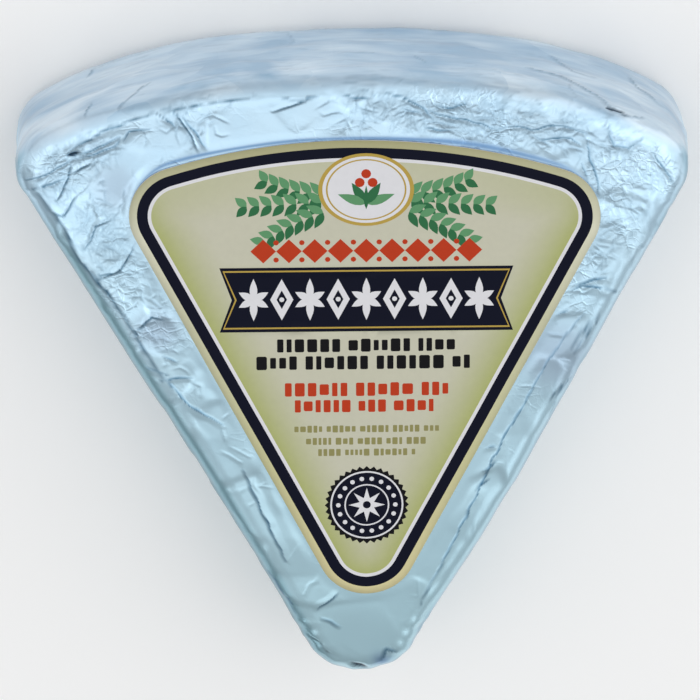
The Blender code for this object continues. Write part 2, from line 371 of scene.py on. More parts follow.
# %% Folds
# Each fold on the face: its points in mm, its height, and its width on its left and right
FOLDS = (
    # The long crease down the right strip, and the fan of pinches beside it
    (((36, 76), (32, 70), (27.5, 62), (24, 56), (19, 45), (13.5, 33), (10.5, 25.5)), 0.34, 2.2, 0.35),
    (((36, 75.5), (39, 79.5)), 0.16, 0.3, 0.5),
    (((36.5, 73), (40, 78)), 0.18, 0.3, 0.6),
    (((37, 72), (41.5, 78.5)), 0.18, 0.3, 0.6),
    (((38.5, 75), (41.5, 79.5)), 0.14, 0.3, 0.5),
    (((36, 67), (33.5, 64)), 0.18, 0.35, 0.6),
    (((35, 66.5), (32, 63.5)), 0.18, 0.35, 0.6),
    (((33.5, 63), (32.5, 60.5)), 0.16, 0.35, 0.6),
    # Wrinkles across the right strip
    (((36, 83.5), (39, 84.5), (44.5, 83)), 0.30, 0.5, 1.3),
    (((37.5, 84.5), (43, 86)), 0.26, 0.5, 1.1),
    (((33.5, 79), (36, 80)), 0.22, 0.5, 0.9),
    # The left edge of the face, and the crease that leaves it
    (((-55.5, 104), (-51.5, 98.5), (-47.5, 91), (-42.5, 84), (-38.5, 77.5), (-34.5, 69.5)), 0.32, 2.4, 0.6),
    (((-34.5, 69.5), (-30, 64), (-24.5, 60)), 0.32, 0.4, 1.0),
    (((-49, 102.5), (-51, 99.5), (-52.5, 99.5)), 0.22, 0.35, 0.8),
    (((-43, 98.5), (-45.5, 97), (-47.5, 93)), 0.24, 0.35, 0.9),
    (((-38.5, 94.5), (-41, 89.5), (-45, 87.5)), 0.28, 0.35, 1.2),
    (((-41, 89), (-45.5, 88.5)), 0.20, 0.4, 0.9),
    (((-38.5, 78.5), (-36, 80.5), (-34, 80)), 0.22, 0.9, 0.4),
    (((-37, 71), (-33.5, 69.5)), 0.22, 0.4, 0.8),
    (((-35, 68.5), (-29.5, 69)), 0.24, 0.4, 0.8),
    (((-34, 73), (-32, 72)), 0.18, 0.4, 0.6),
    (((-21, 51.5), (-17.5, 43), (-13.5, 34.5)), 0.24, 1.4, 0.5),
    (((-16.5, 32), (-13.5, 27.5), (-11.5, 24)), 0.24, 1.2, 0.5),
    # The double fold above the label, and the creases along the edge of the rind
    (((-32, 118.3), (-29.5, 115), (-27.5, 110)), 0.30, 0.7, 0.3),
    (((-30, 116.5), (-28.3, 114), (-26, 110)), 0.26, 0.3, 0.7),
    (((-34.7, 117), (-32, 115.5), (-31.3, 114.4)), 0.20, 0.3, 0.6),
    (((-44, 114), (-38, 116), (-35, 117)), 0.20, 0.3, 0.5),
    (((-33.5, 117.8), (-30.5, 118), (-26, 119), (-22, 119.5), (-18.5, 120)), 0.22, 0.5, 0.3),
    (((-12.7, 120), (-9, 119.9), (-6.8, 120.2)), 0.18, 0.5, 0.3),
    (((-7, 120.3), (-9.8, 119.2), (-14.7, 117.7)), 0.20, 0.3, 0.7),
    (((-2.2, 120.5), (0, 119.8), (3.2, 120.3)), 0.24, 0.4, 0.3),
    (((5.3, 120.5), (7.8, 120), (12, 117.5), (13.9, 115.3)), 0.20, 0.3, 0.6),
    (((8.8, 117.6), (11.7, 116.4)), 0.18, 0.3, 0.5),
    (((14.3, 117.8), (17, 117.4), (20, 117.9)), 0.20, 0.3, 0.6),
    (((12.5, 117), (19.5, 115), (25.3, 113)), 0.20, 0.3, 0.8),
    (((12.5, 115.3), (18, 114)), 0.16, 0.3, 0.6),
    (((12.5, 114), (17.3, 113)), 0.20, 0.3, 0.5),
    (((25.3, 113.2), (28.4, 113.5), (31, 112.7), (34.5, 113.6), (38, 113), (40.5, 112)), 0.20, 0.3, 0.8),
    (((32, 111), (35, 111.4), (38, 111), (39.6, 110.2)), 0.20, 0.3, 0.8),
    (((31, 111.8), (34.5, 110)), 0.16, 0.3, 0.5),
    # The gathered corners
    (((-48.2, 110), (-45.2, 111), (-41.3, 113)), 0.28, 0.35, 0.8),
    (((-48.4, 109.3), (-45.3, 110), (-41.6, 111.3), (-41, 112.8)), 0.24, 0.35, 0.7),
    (((-49.7, 110.8), (-46.2, 112.8), (-42.6, 114.7), (-41, 115.2)), 0.20, 0.3, 0.5),
    (((-40.3, 112.4), (-39.2, 114), (-36, 114.3)), 0.22, 0.35, 0.7),
    (((-57.5, 106.5), (-54.5, 106.9), (-50.6, 108.4), (-49, 109.3)), 0.22, 0.3, 0.6),
    (((-57.3, 104.8), (-53.3, 105.2), (-50.7, 105.9)), 0.20, 0.3, 0.6),
    (((-49.6, 108.4), (-50.2, 106), (-52.3, 102)), 0.26, 0.4, 0.9),
    (((-46.3, 108.3), (-49.3, 106.9)), 0.22, 0.35, 0.7),
    (((40.8, 111), (41.1, 108), (42.5, 104), (42.6, 101)), 0.24, 0.35, 0.8),
    (((40, 106.5), (41, 103)), 0.18, 0.35, 0.6),
    (((43.9, 113.5), (44.4, 112), (45.3, 110), (47.8, 109.4), (50.2, 111.4)), 0.18, 0.35, 0.6),
    (((52, 109), (55, 105), (55.5, 103.7)), 0.20, 0.35, 0.6),
    # Puckers beside the label, and the few creases near the tip
    (((20, 54.5), (22.5, 55)), 0.22, 0.5, 0.7),
    (((21, 50.5), (23, 52)), 0.22, 0.5, 0.7),
    (((19.5, 47), (21.5, 48.5)), 0.20, 0.5, 0.7),
    (((-4.5, 28), (-5.5, 27), (-8, 25)), 0.20, 0.4, 1.2),
    (((-7, 23), (-5.5, 22.5), (-4, 21.5)), 0.16, 0.5, 0.5),
    (((3.5, 15), (4.5, 17), (6, 16)), 0.26, 0.6, 0.8),
)
# The listed heights of the face's folds are lowered to this share
FOLD_SHARE = 0.65
# A crease line reaches this far over its crest, and is weaker on folds below this height
LINE_MARGIN = 0.12
DEEP_FOLD = 0.20
# How far short of nothing a fold ends, and how far its course wanders, in mm for facets of 1
FOLD_ENDS = 0.08
FOLD_WANDER = 0.22
# Slits where the foil is tucked in: points, depth and half width
SLITS = (
    (((-49.9, 110), (-48.3, 110.3)), 0.7, 0.45),
    (((-9.5, 20), (-6, 16.5), (-4, 15.3)), 0.30, 0.4),
    (((-1.8, 14.2), (-0.2, 13.3), (0.8, 12.6)), 0.55, 0.85),
)
# Folds and slits on the rind: points as (x, height above the table), then as on the face
RIND_FOLDS = (
    (((-46.5, 25.5), (-46, 24), (-45.6, 22)), 0.20, 0.3, 0.6),
    (((-41, 26.5), (-38.5, 24), (-35.6, 20)), 0.22, 0.3, 0.6),
    (((-46.2, 7), (-45.5, 5)), 0.30, 0.4, 0.5),
    (((30, 17.5), (35.6, 19.1), (38.3, 21.3), (41.5, 23.6), (44.8, 25.8)), 0.34, 0.6, 1.4),
    (((38, 26), (37, 24), (37.4, 22), (39, 21.8)), 0.14, 0.35, 0.7),
    (((45, 26.3), (48, 26.2), (50, 25.4)), 0.20, 0.3, 0.6),
    (((34.5, 9.5), (38, 15), (42, 14.5)), 0.18, 0.5, 1.2),
    (((48.5, 8), (50.2, 11.9), (52.9, 14.3)), 0.22, 0.5, 1.2),
    (((-26.5, 23), (-16.5, 24.5), (-4.5, 26)), 0.10, 0.5, 0.9),
    (((-14, 22.5), (-11, 22.9), (-8.5, 22.8)), 0.12, 0.35, 0.5),
    (((-2.6, 16.5), (2, 16), (6.5, 16.4)), 0.12, 0.35, 0.6),
    (((10.4, 17), (11.5, 19), (12.5, 20.3)), 0.14, 0.3, 0.6),
    (((-11.4, 4), (-10.6, 7), (-10.4, 10.5)), 0.12, 0.35, 0.8),
    (((14, 22.5), (24, 22), (31, 23)), 0.10, 0.5, 0.9),
)
RIND_SLITS = ((((43.6, 25.7), (45.2, 26), (46.9, 26.3)), 0.6, 0.45),)


def near_segment(points, start, end, reach):
    """For the points near a straight stretch: their indexes, share along it and offset."""
    low = np.minimum(start, end) - reach
    high = np.maximum(start, end) + reach
    chosen = np.flatnonzero(np.all((points > low) & (points < high), axis=1))
    way = end - start
    from_start = points[chosen] - start
    share = np.clip(from_start @ way / (way @ way), 0, 1)
    return chosen, share, from_start - share[:, None] * way


def steep_line(away, left, right, width):
    """How near points are to a fold's crease line, counted on its steep side."""
    steep = np.where(width <= min(left, right), width + LINE_MARGIN, LINE_MARGIN)
    return np.clip(1 - away / steep, 0, 1) ** 0.7


def tents(points, folds):
    """Height of the folds at points given as two numbers each, and their crease lines."""
    height = np.zeros(len(points))
    lines = np.zeros(len(points))
    for places, top, left, right in folds:
        places = np.array(places, float)
        lengths = np.linalg.norm(np.diff(places, axis=0), axis=1)
        done = 0.0
        for start, end, length in zip(places, places[1:], lengths):
            chosen, share, offset = near_segment(points, start, end, max(left, right))
            way = (end - start) / length
            side = way[0] * offset[:, 1] - way[1] * offset[:, 0]
            width = np.where(side > 0, left, right)
            away = np.linalg.norm(offset, axis=1)
            along = (done + share * length) / lengths.sum()
            fade = np.sin(np.pi * (FOLD_ENDS + (1 - 2 * FOLD_ENDS) * along)) ** 0.5
            tent = top * np.clip(1 - away / width, 0, 1) * fade
            line = steep_line(away, left, right, width) * fade * min(1, (top / DEEP_FOLD) ** 2)
            height[chosen] = np.maximum(height[chosen], tent)
            lines[chosen] = np.maximum(lines[chosen], line)
            done += length
    return height, lines


def tucks(points, slits):
    """How deep the foil is tucked in at points given as two numbers each."""
    return tents(points, [(places, deep, half, half) for places, deep, half in slits])[0]


def fold_height(points, on_rind):
    """Height of every listed fold, its crease lines, and the depth of the slits."""
    high = rise(points[:, 2], THICKNESS * 0.6, THICKNESS * 0.85) * (1 - 0.9 * on_rind)
    jitter = np.column_stack([facets(points, 2.4, 6.0, 60 + axis) for axis in range(3)])
    points = points + FOLD_WANDER * jitter
    face_folds, face_lines = tents(points[:, :2], FOLDS)
    rind_folds, rind_lines = tents(points[:, (0, 2)], RIND_FOLDS)
    slits = tucks(points[:, :2], SLITS) * high + tucks(points[:, (0, 2)], RIND_SLITS) * on_rind
    folds = FOLD_SHARE * face_folds * high + rind_folds * on_rind
    return folds - slits, np.maximum(face_lines * high, rind_lines * on_rind), slits


print(len(FOLDS), "long folds")

# %% [markdown]
# ## The mesh under the foil
# The foil is one closed skin. It could be cut from a block and remeshed, but here it is
# built like a tailor's pattern: rings run round the side from the table up to the face, and
# the flat face and back are filled with a lattice of small triangles. The lattice is a
# quarter of a millimetre fine where creases show, coarser on the back, and widest under the
# label, where nothing shows.

# %% Build the smooth skin
RING_STEPS = (0.42, 0.6)
FACE_STEP = 0.24
HIDDEN_STEP = 4.0
BACK_STEP = 1.1
UNDER_LABEL = 1.5
WALL_STEP = 0.5
FACE_ROUND_RINGS = 16
BACK_ROUND_RINGS = 6


def inside_distance(points, outline, normals):
    """How far each point is inside an outline; negative outside it."""
    found = np.empty(len(points))
    for first in range(0, len(points), 4000):
        part = points[first : first + 4000]
        squares = ((part[:, None] - outline[None]) ** 2).sum(axis=2)
        nearest = squares.argmin(axis=1)
        found[first : first + 4000] = ((outline[nearest] - part) * normals[nearest]).sum(axis=1)
    return found


def lattice(step):
    """A triangular lattice of points that covers the slice."""
    half = RIND_DISTANCE / 2 + 4
    rows = np.arange(0, RIND_DISTANCE, step * math.sqrt(3) / 2)
    columns = np.arange(-half, half, step)
    grid_x, grid_y = np.meshgrid(columns, rows)
    grid_x[1::2] += step / 2
    return np.column_stack((grid_x.ravel(), grid_y.ravel()))


def side_rings():
    """(inset, height, slant) of each ring: slant 0 faces out, 1 faces up and -1 down."""
    rings = []
    for turn in np.linspace(-math.pi / 2, 0, BACK_ROUND_RINGS, endpoint=False):
        inset = BACK_EDGE_RADIUS * (1 - math.cos(turn))
        rings.append((inset, BACK_EDGE_RADIUS * (1 + math.sin(turn)), turn))
    top = THICKNESS - FACE_EDGE_RADIUS
    count = round((top - BACK_EDGE_RADIUS) / WALL_STEP)
    rings += [(0, height, 0) for height in np.linspace(BACK_EDGE_RADIUS, top, count)[:-1]]
    for turn in np.linspace(0, math.pi / 2, FACE_ROUND_RINGS):
        inset = FACE_EDGE_RADIUS * (1 - math.cos(turn))
        rings.append((inset, top + FACE_EDGE_RADIUS * math.sin(turn), turn))
    return rings


def fill(rim, inner, step):
    """Triangles over the area inside a rim, through the inner points, counter-clockwise."""
    count = len(rim)
    edges = [(i, (i + 1) % count) for i in range(count)]
    places = [Vector(place) for place in np.vstack((rim, inner))]
    points, _, triangles, *_ = delaunay_2d_cdt(places, edges, [], 1, 1e-6)
    return np.array([point[:] for point in points])[count:], np.array(triangles)


def build_skin():
    """Points, normals and triangles of the smooth closed skin, in mm."""
    outline, out = wedge_outline(RING_STEPS)
    count = len(outline)
    points, normals, faces = [], [], []
    for inset, height, turn in side_rings():
        points.append(np.column_stack((outline - inset * out, np.full(count, height))))
        normals.append(np.column_stack((out * math.cos(turn), np.full(count, math.sin(turn)))))
    here = np.arange(count)
    there = (here + 1) % count
    for ring in range(len(points) - 1):
        low, high = ring * count, (ring + 1) * count
        faces.append(np.column_stack((low + here, low + there, high + there)))
        faces.append(np.column_stack((low + here, high + there, high + here)))
    label_points, label_out = label_outline(0.5)
    label_points = from_label(label_points)
    fills = (
        (len(points) - 1, FACE_EDGE_RADIUS, FACE_STEP, THICKNESS, 1),
        (0, BACK_EDGE_RADIUS, BACK_STEP, 0.0, -1),
    )
    total = sum(len(part) for part in points)
    for ring, inset, step, height, facing in fills:
        inner = lattice(step)
        inner = inner[inside_distance(inner, outline, out) > inset + 0.6 * step]
        if facing > 0:
            depth = inside_distance(inner, label_points, label_out)
            wide = lattice(HIDDEN_STEP)
            wide = wide[inside_distance(wide, label_points, label_out) > UNDER_LABEL + 2]
            inner = np.vstack((inner[depth < UNDER_LABEL], wide))
        rim = points[ring][:, :2]
        inner, triangles = fill(rim, inner, step)
        lookup = np.concatenate((ring * count + here, total + np.arange(len(inner))))
        triangles = lookup[triangles]
        faces.append(triangles if facing > 0 else triangles[:, ::-1])
        points.append(np.column_stack((inner, np.full(len(inner), height))))
        normals.append(np.tile((0.0, 0.0, facing), (len(inner), 1)))
        total += len(inner)
    return np.vstack(points), np.vstack(normals), np.vstack(faces)


skin_points, skin_normals, skin_faces = build_skin()
print(len(skin_points), "points and", len(skin_faces), "triangles in the smooth skin")

# %% [markdown]
# ## Crease the skin
# The relief is the sum of what happened to the foil. Broad facets come from wrapping it by
# hand. Small sharp ones crowd the edge of the rind, where the sheet was gathered. Below the
# label the foil was pulled smooth. Round the tip it is pleated like a cake case. Under the
# label it was pressed flat, so the relief fades out there. All of it could be one height
# picture, but sums of simple parts can be changed one at a time. First come the broad
# shapes, whose places were read off the picture.

# %% Broad shapes of the foil
# The sides' bulges: distance from the point, reach, and each side's own move to +X
BULGES = (
    (8, 9, -0.7, 0.3),
    (20, 9, -0.3, -1.0),
    (50, 20, 0.4, 0.4),
    (82, 16, 0.15, -0.35),
    (106, 12, 0.7, -1.6),
)
SIDE_BLEND = 8.0
# The rind's shoulders: how far they stand out, where they end along X and start along Y
SHOULDER = 0.6
SHOULDER_SPAN = 47.0
SHOULDER_START = (85, 100)
# Where the face has sunk: x, y, reach and depth in mm
SLUMPS = ((-58, 108, 24, 3.0), (56, 108, 16, 1.0), (0, 8, 18, 0.8))
LABEL_LIFT = 0.25
TROUGH_DEPTH = 0.32
# The blue spot beside the tip's slits: x, y and reach in mm
TIP_SPOT = (3.5, 14.5, 1.6)
# Every kind of facet: its slope, width in mm, the sharpness of its creases, and its seed
FACETS = {
    "broad": (0.045, 8.5, 20.0, 21),
    "middle": (0.038, 3.6, 18.0, 22),
    "fine": (0.06, 1.5, 14.0, 23),
    "rind_dents": (0.05, 9.0, 8.0, 24),
    "wall_broad": (0.09, 12.0, 24.0, 25),
    "wall_middle": (0.1, 4.5, 16.0, 26),
}
# The rind's dents are stretched along X and squeezed along Z by these scales
RIND_STRETCH = (0.6, 1, 1.6)
# Patches where the foil is crushed, and patches where it is smooth: x, y and reach in mm
CRUSHED = (
    (-54, 106, 4),
    (-47, 111, 4),
    (-30, 118, 3.5),
    (-24, 119, 3.5),
    (1, 120, 4),
    (9, 118, 4),
    (16, 117, 5),
    (24, 116, 5),
    (30, 115, 5),
    (37, 114, 4),
    (46, 112, 3),
    (-45, 95, 5),
)
CALM = (
    (-17, 114, 10),
    (-33, 111, 4),
    (-42, 106, 5),
    (-8, 118, 5),
    (20, 62, 9),
    (15, 40, 9),
    (0, 20, 8),
)
# Patches of painted shade, darker as if they leaned away from the light
SHADE_PATCHES = ((34, 72, 6.5), (-42, 104, 4), (-35, 78, 4))


def facet_height(points, kind):
    """Height of one kind of facet."""
    slope, width, sharpness, seed = FACETS[kind]
    return slope * facets(points, width, sharpness, seed)


def nearness(points, spots):
    """1 at the middle of the nearest spot, falling away past its reach."""
    near = []
    for x, y, reach in spots:
        squares = ((points[:, 0] - x) ** 2 + (points[:, 1] - y) ** 2) / reach**2
        near.append(np.exp(-(squares**1.5)))
    return np.max(near, axis=0)


def bulge(points):
    """How far the soft sides have moved along X, and the rind's shoulders along Y."""
    right_share = 0.5 + 0.5 * np.clip(points[:, 0] / SIDE_BLEND, -1, 1)
    moved = np.zeros((len(points), 3))
    for at, reach, left, right in BULGES:
        near = np.exp(-(((points[:, 1] - at) / reach) ** 2))
        moved[:, 0] += near * (left + (right - left) * right_share)
    span = (points[:, 0] / SHOULDER_SPAN) ** 2
    # 4 * span * (1 - span) is 1 at the shoulders, and 0 in the middle and where they end
    moved[:, 1] = SHOULDER * 4 * span * (1 - span) * rise(points[:, 1], *SHOULDER_START)
    return moved


def slump(points):
    """How far the face has sunk near its corners."""
    drop = np.zeros(len(points))
    for x, y, reach, depth in SLUMPS:
        near = np.clip(1 - np.hypot(points[:, 0] - x, points[:, 1] - y) / reach, 0, 1)
        drop += depth * near * near * (3 - 2 * near)
    return drop * points[:, 2] / THICKNESS


print(len(FACETS), "kinds of facet,", len(BULGES), "bulges and", len(SLUMPS), "sunk places")

# %% [markdown]
# ## Short pinched strokes
# Between its long folds, crushed foil has hundreds of short creases that bend once or twice
# and stop. Noise can't give them, because it has no beginnings and ends. So each stroke
# starts at a random point of the mesh, more often where the foil is busy, and walks over the
# surface in two to four straight pieces. On the rind most of them run along the pull.

# %% Strokes
STROKES = 1350
WALL_STROKES = 420
# A stroke's height in mm, from and to, and the widths of its narrow and its wide flank
STROKE_TOPS = (0.03, 0.10)
NARROW_FLANKS = (0.2, 0.3)
WIDE_FLANKS = (0.35, 0.8)
# How long a straight piece of a stroke is in mm, and how many it has; the last is left out
PIECE_LENGTHS = (0.6, 2.2)
PIECES = (2, 5)


def stroke_height(points, normals, density, lengthwise, tangent, count, seed):
    """Height of short pinched creases that start at random places, and their crease lines."""
    draw = np.random.default_rng(seed)
    height = np.zeros(len(points))
    lines = np.zeros(len(points))
    starts = draw.choice(len(points), count, p=density / density.sum())
    for start in starts:
        place, normal = points[start], normals[start]
        chance = np.cross(normal, draw.normal(size=3))
        chance /= np.linalg.norm(chance)
        way = lengthwise[start] * tangent[start] + (1 - lengthwise[start]) * chance
        way -= normal * (way @ normal)
        way /= np.linalg.norm(way)
        top = draw.uniform(*STROKE_TOPS)
        left, right = draw.permutation((draw.uniform(*NARROW_FLANKS), draw.uniform(*WIDE_FLANKS)))
        pieces = draw.integers(*PIECES)
        for piece in range(pieces):
            length = draw.uniform(*PIECE_LENGTHS) * (1 + 2.5 * max(0, lengthwise[start] - 0.6))
            end = place + way * length
            chosen, share, offset = near_segment(points, place, end, 1.0)
            side = np.cross(way, offset) @ normal
            width = np.where(side > 0, left, right)
            away = np.linalg.norm(offset, axis=1)
            fade = np.sin(np.pi * (piece + share + 0.15) / (pieces + 0.3))
            tent = top * np.clip(1 - away / width, 0, 1) * fade
            line = steep_line(away, left, right, width) * fade * (top / STROKE_TOPS[1]) ** 0.5
            height[chosen] = np.maximum(height[chosen], tent)
            lines[chosen] = np.maximum(lines[chosen], line)
            place = end
            way = way + 0.8 * (1 - lengthwise[start]) * draw.normal(size=3)
            way -= normal * (way @ normal)
            way /= np.linalg.norm(way)
    return height, lines


print(STROKES, "strokes all over, and", WALL_STROKES, "on the cut sides alone")

# %% [markdown]
# ## Gathers and flaps
# Round the tip the sheet turns a tight curve, so it gathers into pleats that fan out. On the
# back its spare ends are folded one over the other. The picture doesn't show the back, so
# three plain flaps stand for it, as on most packs of this kind.

# %% Tip and back
# The tip's gathers: how many, how high, and how far from the tip's middle they begin
PLEATS = 9
PLEAT_HEIGHT = 0.25
PLEAT_START = (6.5, 10.5)
# The back's flaps: how thick each lies on the next, and half the width of its step
FLAPS = 0.14
FLAP_EDGE = 0.4


def pleat_height(points):
    """Height of the gathers that fan out round the tip's edge."""
    tip = np.array((0, TIP_RADIUS / math.sin(HALF_ANGLE)))
    away = points[:, :2] - tip
    around = np.arctan2(away[:, 0], -away[:, 1])
    wobble = 0.12 * np.sin(5 * around) + 0.02 * points[:, 2]
    wave = np.abs((around * PLEATS / math.pi + wobble) % 1 - 0.5) * 2
    near_edge = rise(np.linalg.norm(away, axis=1), *PLEAT_START)
    return np.where(away[:, 1] < 0, PLEAT_HEIGHT * (wave - 0.5) * near_edge, 0)


def back_height(points):
    """How far in from the table the back's foil lies: spare flaps, one over the other."""
    # Each flap ends along its own slanted line, given by where it crosses x or y
    x, y = points[:, 0], points[:, 1]
    left_flap = rise(6 - x - 0.06 * y, -FLAP_EDGE, FLAP_EDGE)
    rind_flap = rise(y - 96 + 0.35 * np.abs(x + 4), -FLAP_EDGE, FLAP_EDGE)
    corner_flap = rise(np.abs(x) - 0.75 * (y - 60) + 14, -FLAP_EDGE, FLAP_EDGE) * rind_flap
    return FLAPS * (3 - left_flap - rind_flap - corner_flap)


print(PLEATS, "gathers round the tip, and flaps", FLAPS, "mm thick")

# %% [markdown]
# ## Put the relief together
# The foil behaves differently on the face, the rind, the cut sides and the back, so first
# each point learns how far it lies in every part, and blends between parts come for free.
# The heights are then summed and the points moved along the smooth skin's normals. Each
# point also stores how far it lies in a crease, a slit, the groove by the label, a duller
# patch or a side, for the material to darken there as painted shade.

# %% Crease the foil
def regions(points, normals):
    """How far each point lies in every part of the wrap, mostly as shares from 0 to 1."""
    # The last two numbers of each rise are where a part begins and where it is complete
    part = SimpleNamespace()
    label_points, label_out = label_outline(0.5)
    part.label_depth = inside_distance(points[:, :2], from_label(label_points), label_out)
    part.face = rise(normals[:, 2], 0.2, 0.9)
    part.back = rise(-normals[:, 2], 0.2, 0.9)
    from_centre = points[:, :2] - np.array((RIND_SHIFT, RIND_DISTANCE - RIND_RADIUS))
    round_rind = np.linalg.norm(from_centre, axis=1)
    tangent = np.column_stack((from_centre[:, 1], -from_centre[:, 0], np.zeros(len(points))))
    part.tangent = tangent / round_rind[:, None]
    part.around = RIND_RADIUS * np.arctan2(from_centre[:, 0], from_centre[:, 1])
    part.rind = rise(round_rind, RIND_RADIUS - 3, RIND_RADIUS - 0.8)
    below_edge = rise(THICKNESS - FACE_EDGE_RADIUS - points[:, 2], 0, 3)
    part.wall = rise(1 - np.abs(normals[:, 2]), 0.9, 1) * (1 - part.rind) * below_edge
    part.high = rise(points[:, 2], THICKNESS - 7, THICKNESS - 2)
    part.upper = rise(points[:, 1], 45, 100)
    part.patchy = rise(facets(points, 11.0, 4.0, 30), -2.0, 2.5)
    part.crushed = nearness(points, CRUSHED) * part.high
    part.calm = 1 - 0.8 * nearness(points, CALM) * part.high
    busy = (0.2 + 0.8 * part.upper) * (0.3 + 0.7 * part.patchy)
    busy = busy * (1 - 0.75 * part.rind) * (1 - 0.5 * part.back)
    part.busy = np.clip(busy + 0.3 * part.crushed, 0, 1) * part.calm
    part.flat = rise(part.label_depth, -2.2, -0.4) * part.face
    return part


def random_relief(points, normals, part):
    """Height of all facets and strokes, their crease lines, and the middle facets alone."""
    warp = np.column_stack([facets(points, 9.0, 5.0, 40 + axis) for axis in range(3)])
    warped = points + 0.5 * warp
    middle = facet_height(warped, "middle")
    dents = facet_height(points * RIND_STRETCH, "rind_dents") * part.rind
    height = facet_height(warped, "broad") * (1 - 0.5 * part.rind) * part.calm
    height = height + dents + middle * part.busy
    height += facet_height(warped, "fine") * part.busy * (0.15 + 0.4 * part.crushed)
    density = 0.04 + 0.8 * part.busy**2 + 2.2 * part.crushed + 0.12 * part.rind
    density = density * part.calm * (1 - part.back)
    lengthwise = np.clip(0.85 * part.rind + 0.45 * part.crushed, 0, 0.9)
    strokes, lines = stroke_height(points, normals, density, lengthwise, part.tangent, STROKES, 5)
    height += strokes * (1 - 0.6 * part.rind)
    # The painted crease shade is stronger where the foil is crushed and towards the rind
    lines *= (0.32 + 0.2 * part.crushed) * (0.3 + 0.7 * part.upper)
    walls = np.flatnonzero(part.wall > 0.5)
    evenly = np.ones(len(walls))
    wall_strokes, wall_lines = stroke_height(
        points[walls], normals[walls], evenly, 0.4 * evenly, part.tangent[walls], WALL_STROKES, 6
    )
    height += part.wall * (facet_height(warped, "wall_broad") + facet_height(warped, "wall_middle"))
    height[walls] += 1.6 * wall_strokes
    lines[walls] = np.maximum(lines[walls], 0.3 * wall_lines)
    return height, lines, middle


def label_trough(points, part):
    """1 in the middle of the groove that the foil forms along the label's upper edge."""
    wide = 0.28 + 0.22 * rise(points[:, 0], -5, 22) + 0.12 * part.patchy
    groove = np.exp(-(((part.label_depth + 0.9 * wide) / wide) ** 2))
    return groove * part.face * rise(points[:, 1], 98, 110)


def material_masks(points, normals, part, trough, lines, slits):
    """The numbers that each point stores for the material, most of them masks of painted shade."""
    near_top = rise(points[:, 2], THICKNESS - 10, THICKNESS - 5)
    # Painted shade where the foil turns to the cut sides, and along the left edge, near the top
    side = rise(0.75 - normals[:, 2], 0, 0.4) * (1 - part.rind) * near_top
    left = rise(-normals[:, 0], 0.2, 0.5) * (1 - part.rind) * near_top
    left *= 1 - rise(points[:, 1], 90, 102)
    x, y, reach = TIP_SPOT
    blue_spot = np.exp(-((np.hypot(points[:, 0] - x, points[:, 1] - y) / reach) ** 2)) * part.face
    return {
        "busy": np.maximum(part.busy, 0.6 * part.wall),
        "rind": part.rind,
        # Painted shade on the duller patches
        "shade_patch": nearness(points, SHADE_PATCHES) * part.high,
        # Painted shade in the groove along the label's top edge, plus the blue spot by the tip
        "deep": np.clip(trough + 0.8 * blue_spot, 0, 1),
        # Painted shade along the creases
        "line": lines * (1 - part.flat),
        # Painted shade in the slits
        "slit_shade": rise(slits, 0.1, 0.4),
        # Painted shade on the cut sides, at the left edge and on the left side
        "side": side,
        "left": left * (1 - side),
        "shade_on_left_side": left * side,
        "around": part.around,
    }


def crease(points, normals):
    """Every point's place on the creased foil, and the masks that the material reads."""
    part = regions(points, normals)
    height, lines, middle = random_relief(points, normals, part)
    folds, fold_lines, slits = fold_height(points, part.rind)
    height += folds + pleat_height(points) * (1 - part.back)
    lines = np.maximum(lines, fold_lines) * (1 - 0.35 * part.rind)
    trough = label_trough(points, part)
    height -= TROUGH_DEPTH * trough
    height = height * (1 - part.flat) + LABEL_LIFT * part.face * (0.6 + 0.2 * part.flat)
    height *= rise(points[:, 2], 0.2, 4.0) * (0.55 + 0.45 * np.maximum(part.face, part.rind))
    placed = points + normals * height[:, None]
    placed[:, 2] -= slump(points) * (1 - part.flat)
    lies = part.back * (points[:, 2] < 0.3)
    placed[:, 2] += lies * np.clip(back_height(points) + 0.5 * middle, 0, 1)
    masks = material_masks(points, normals, part, trough, lines, slits)
    return placed + bulge(points), masks


foil_points, foil_masks = crease(skin_points, skin_normals)
moved = float(np.abs(foil_points - skin_points).max())
print("the relief moves the foil by up to", round(moved, 2), "mm")

# %% [markdown]
# ## Lacquered foil
# The wrap is aluminium foil about 0.02 mm thick, rolled bright and lacquered in a clear
# pale blue. Aluminium reflects nearly all the light, and the lacquer tints it twice, on the
# way in and on the way out, so a flat facet is pale and a deep crease, where light bounces
# more than once, turns a stronger blue. The material paints a darker blue along the creases
# on top of that, as painted shade. The lacquer adds a second, sharper gloss.
# The mesh has the creases that cast a shadow. Finer ones could be modelled too, but a bump
# pattern gives the same glitter at no cost in triangles.

# %% Patterns of the foil
FOIL_BLUE = "#D2EEFF"
FOIL_MOTTLE = "#C0E3FB"
# Painted shade: a greener, darker tone towards the tip
FOIL_SHADE_TOWARDS_TIP = "#BDE2EF"
# Painted shade on the duller patches
FOIL_IN_SHADE_PATCHES = "#B2CCE0"
# Painted shade in the groove along the label's top edge; the same blue marks the spot by the tip
FOIL_GROOVE_SHADE_AND_TIP_SPOT = "#7299C4"
# Painted shade on the cut sides, at the left edge of the face and on the left side
FOIL_SHADE_ON_SIDES = "#8AB2C6"
FOIL_SHADE_AT_LEFT_EDGE = "#94BECC"
FOIL_SHADE_ON_LEFT_SIDE = "#6C95A3"
# Painted shade along the creases
FOIL_CREASE_SHADE = "#3C6A88"
# Painted shade in the slits
FOIL_SLIT_SHADE = "#1F3A50"
RIND_TONES = ("#A4C2DA", "#DAEAF6")
# Sizes in mm: the wrinkles' cells, how far and over what length they bend, and their breaks
WRINKLE_MM = (2.8, 1.4)
WRINKLE_BEND = 1.6
BEND_MM = 6
BREAK_MM = 7
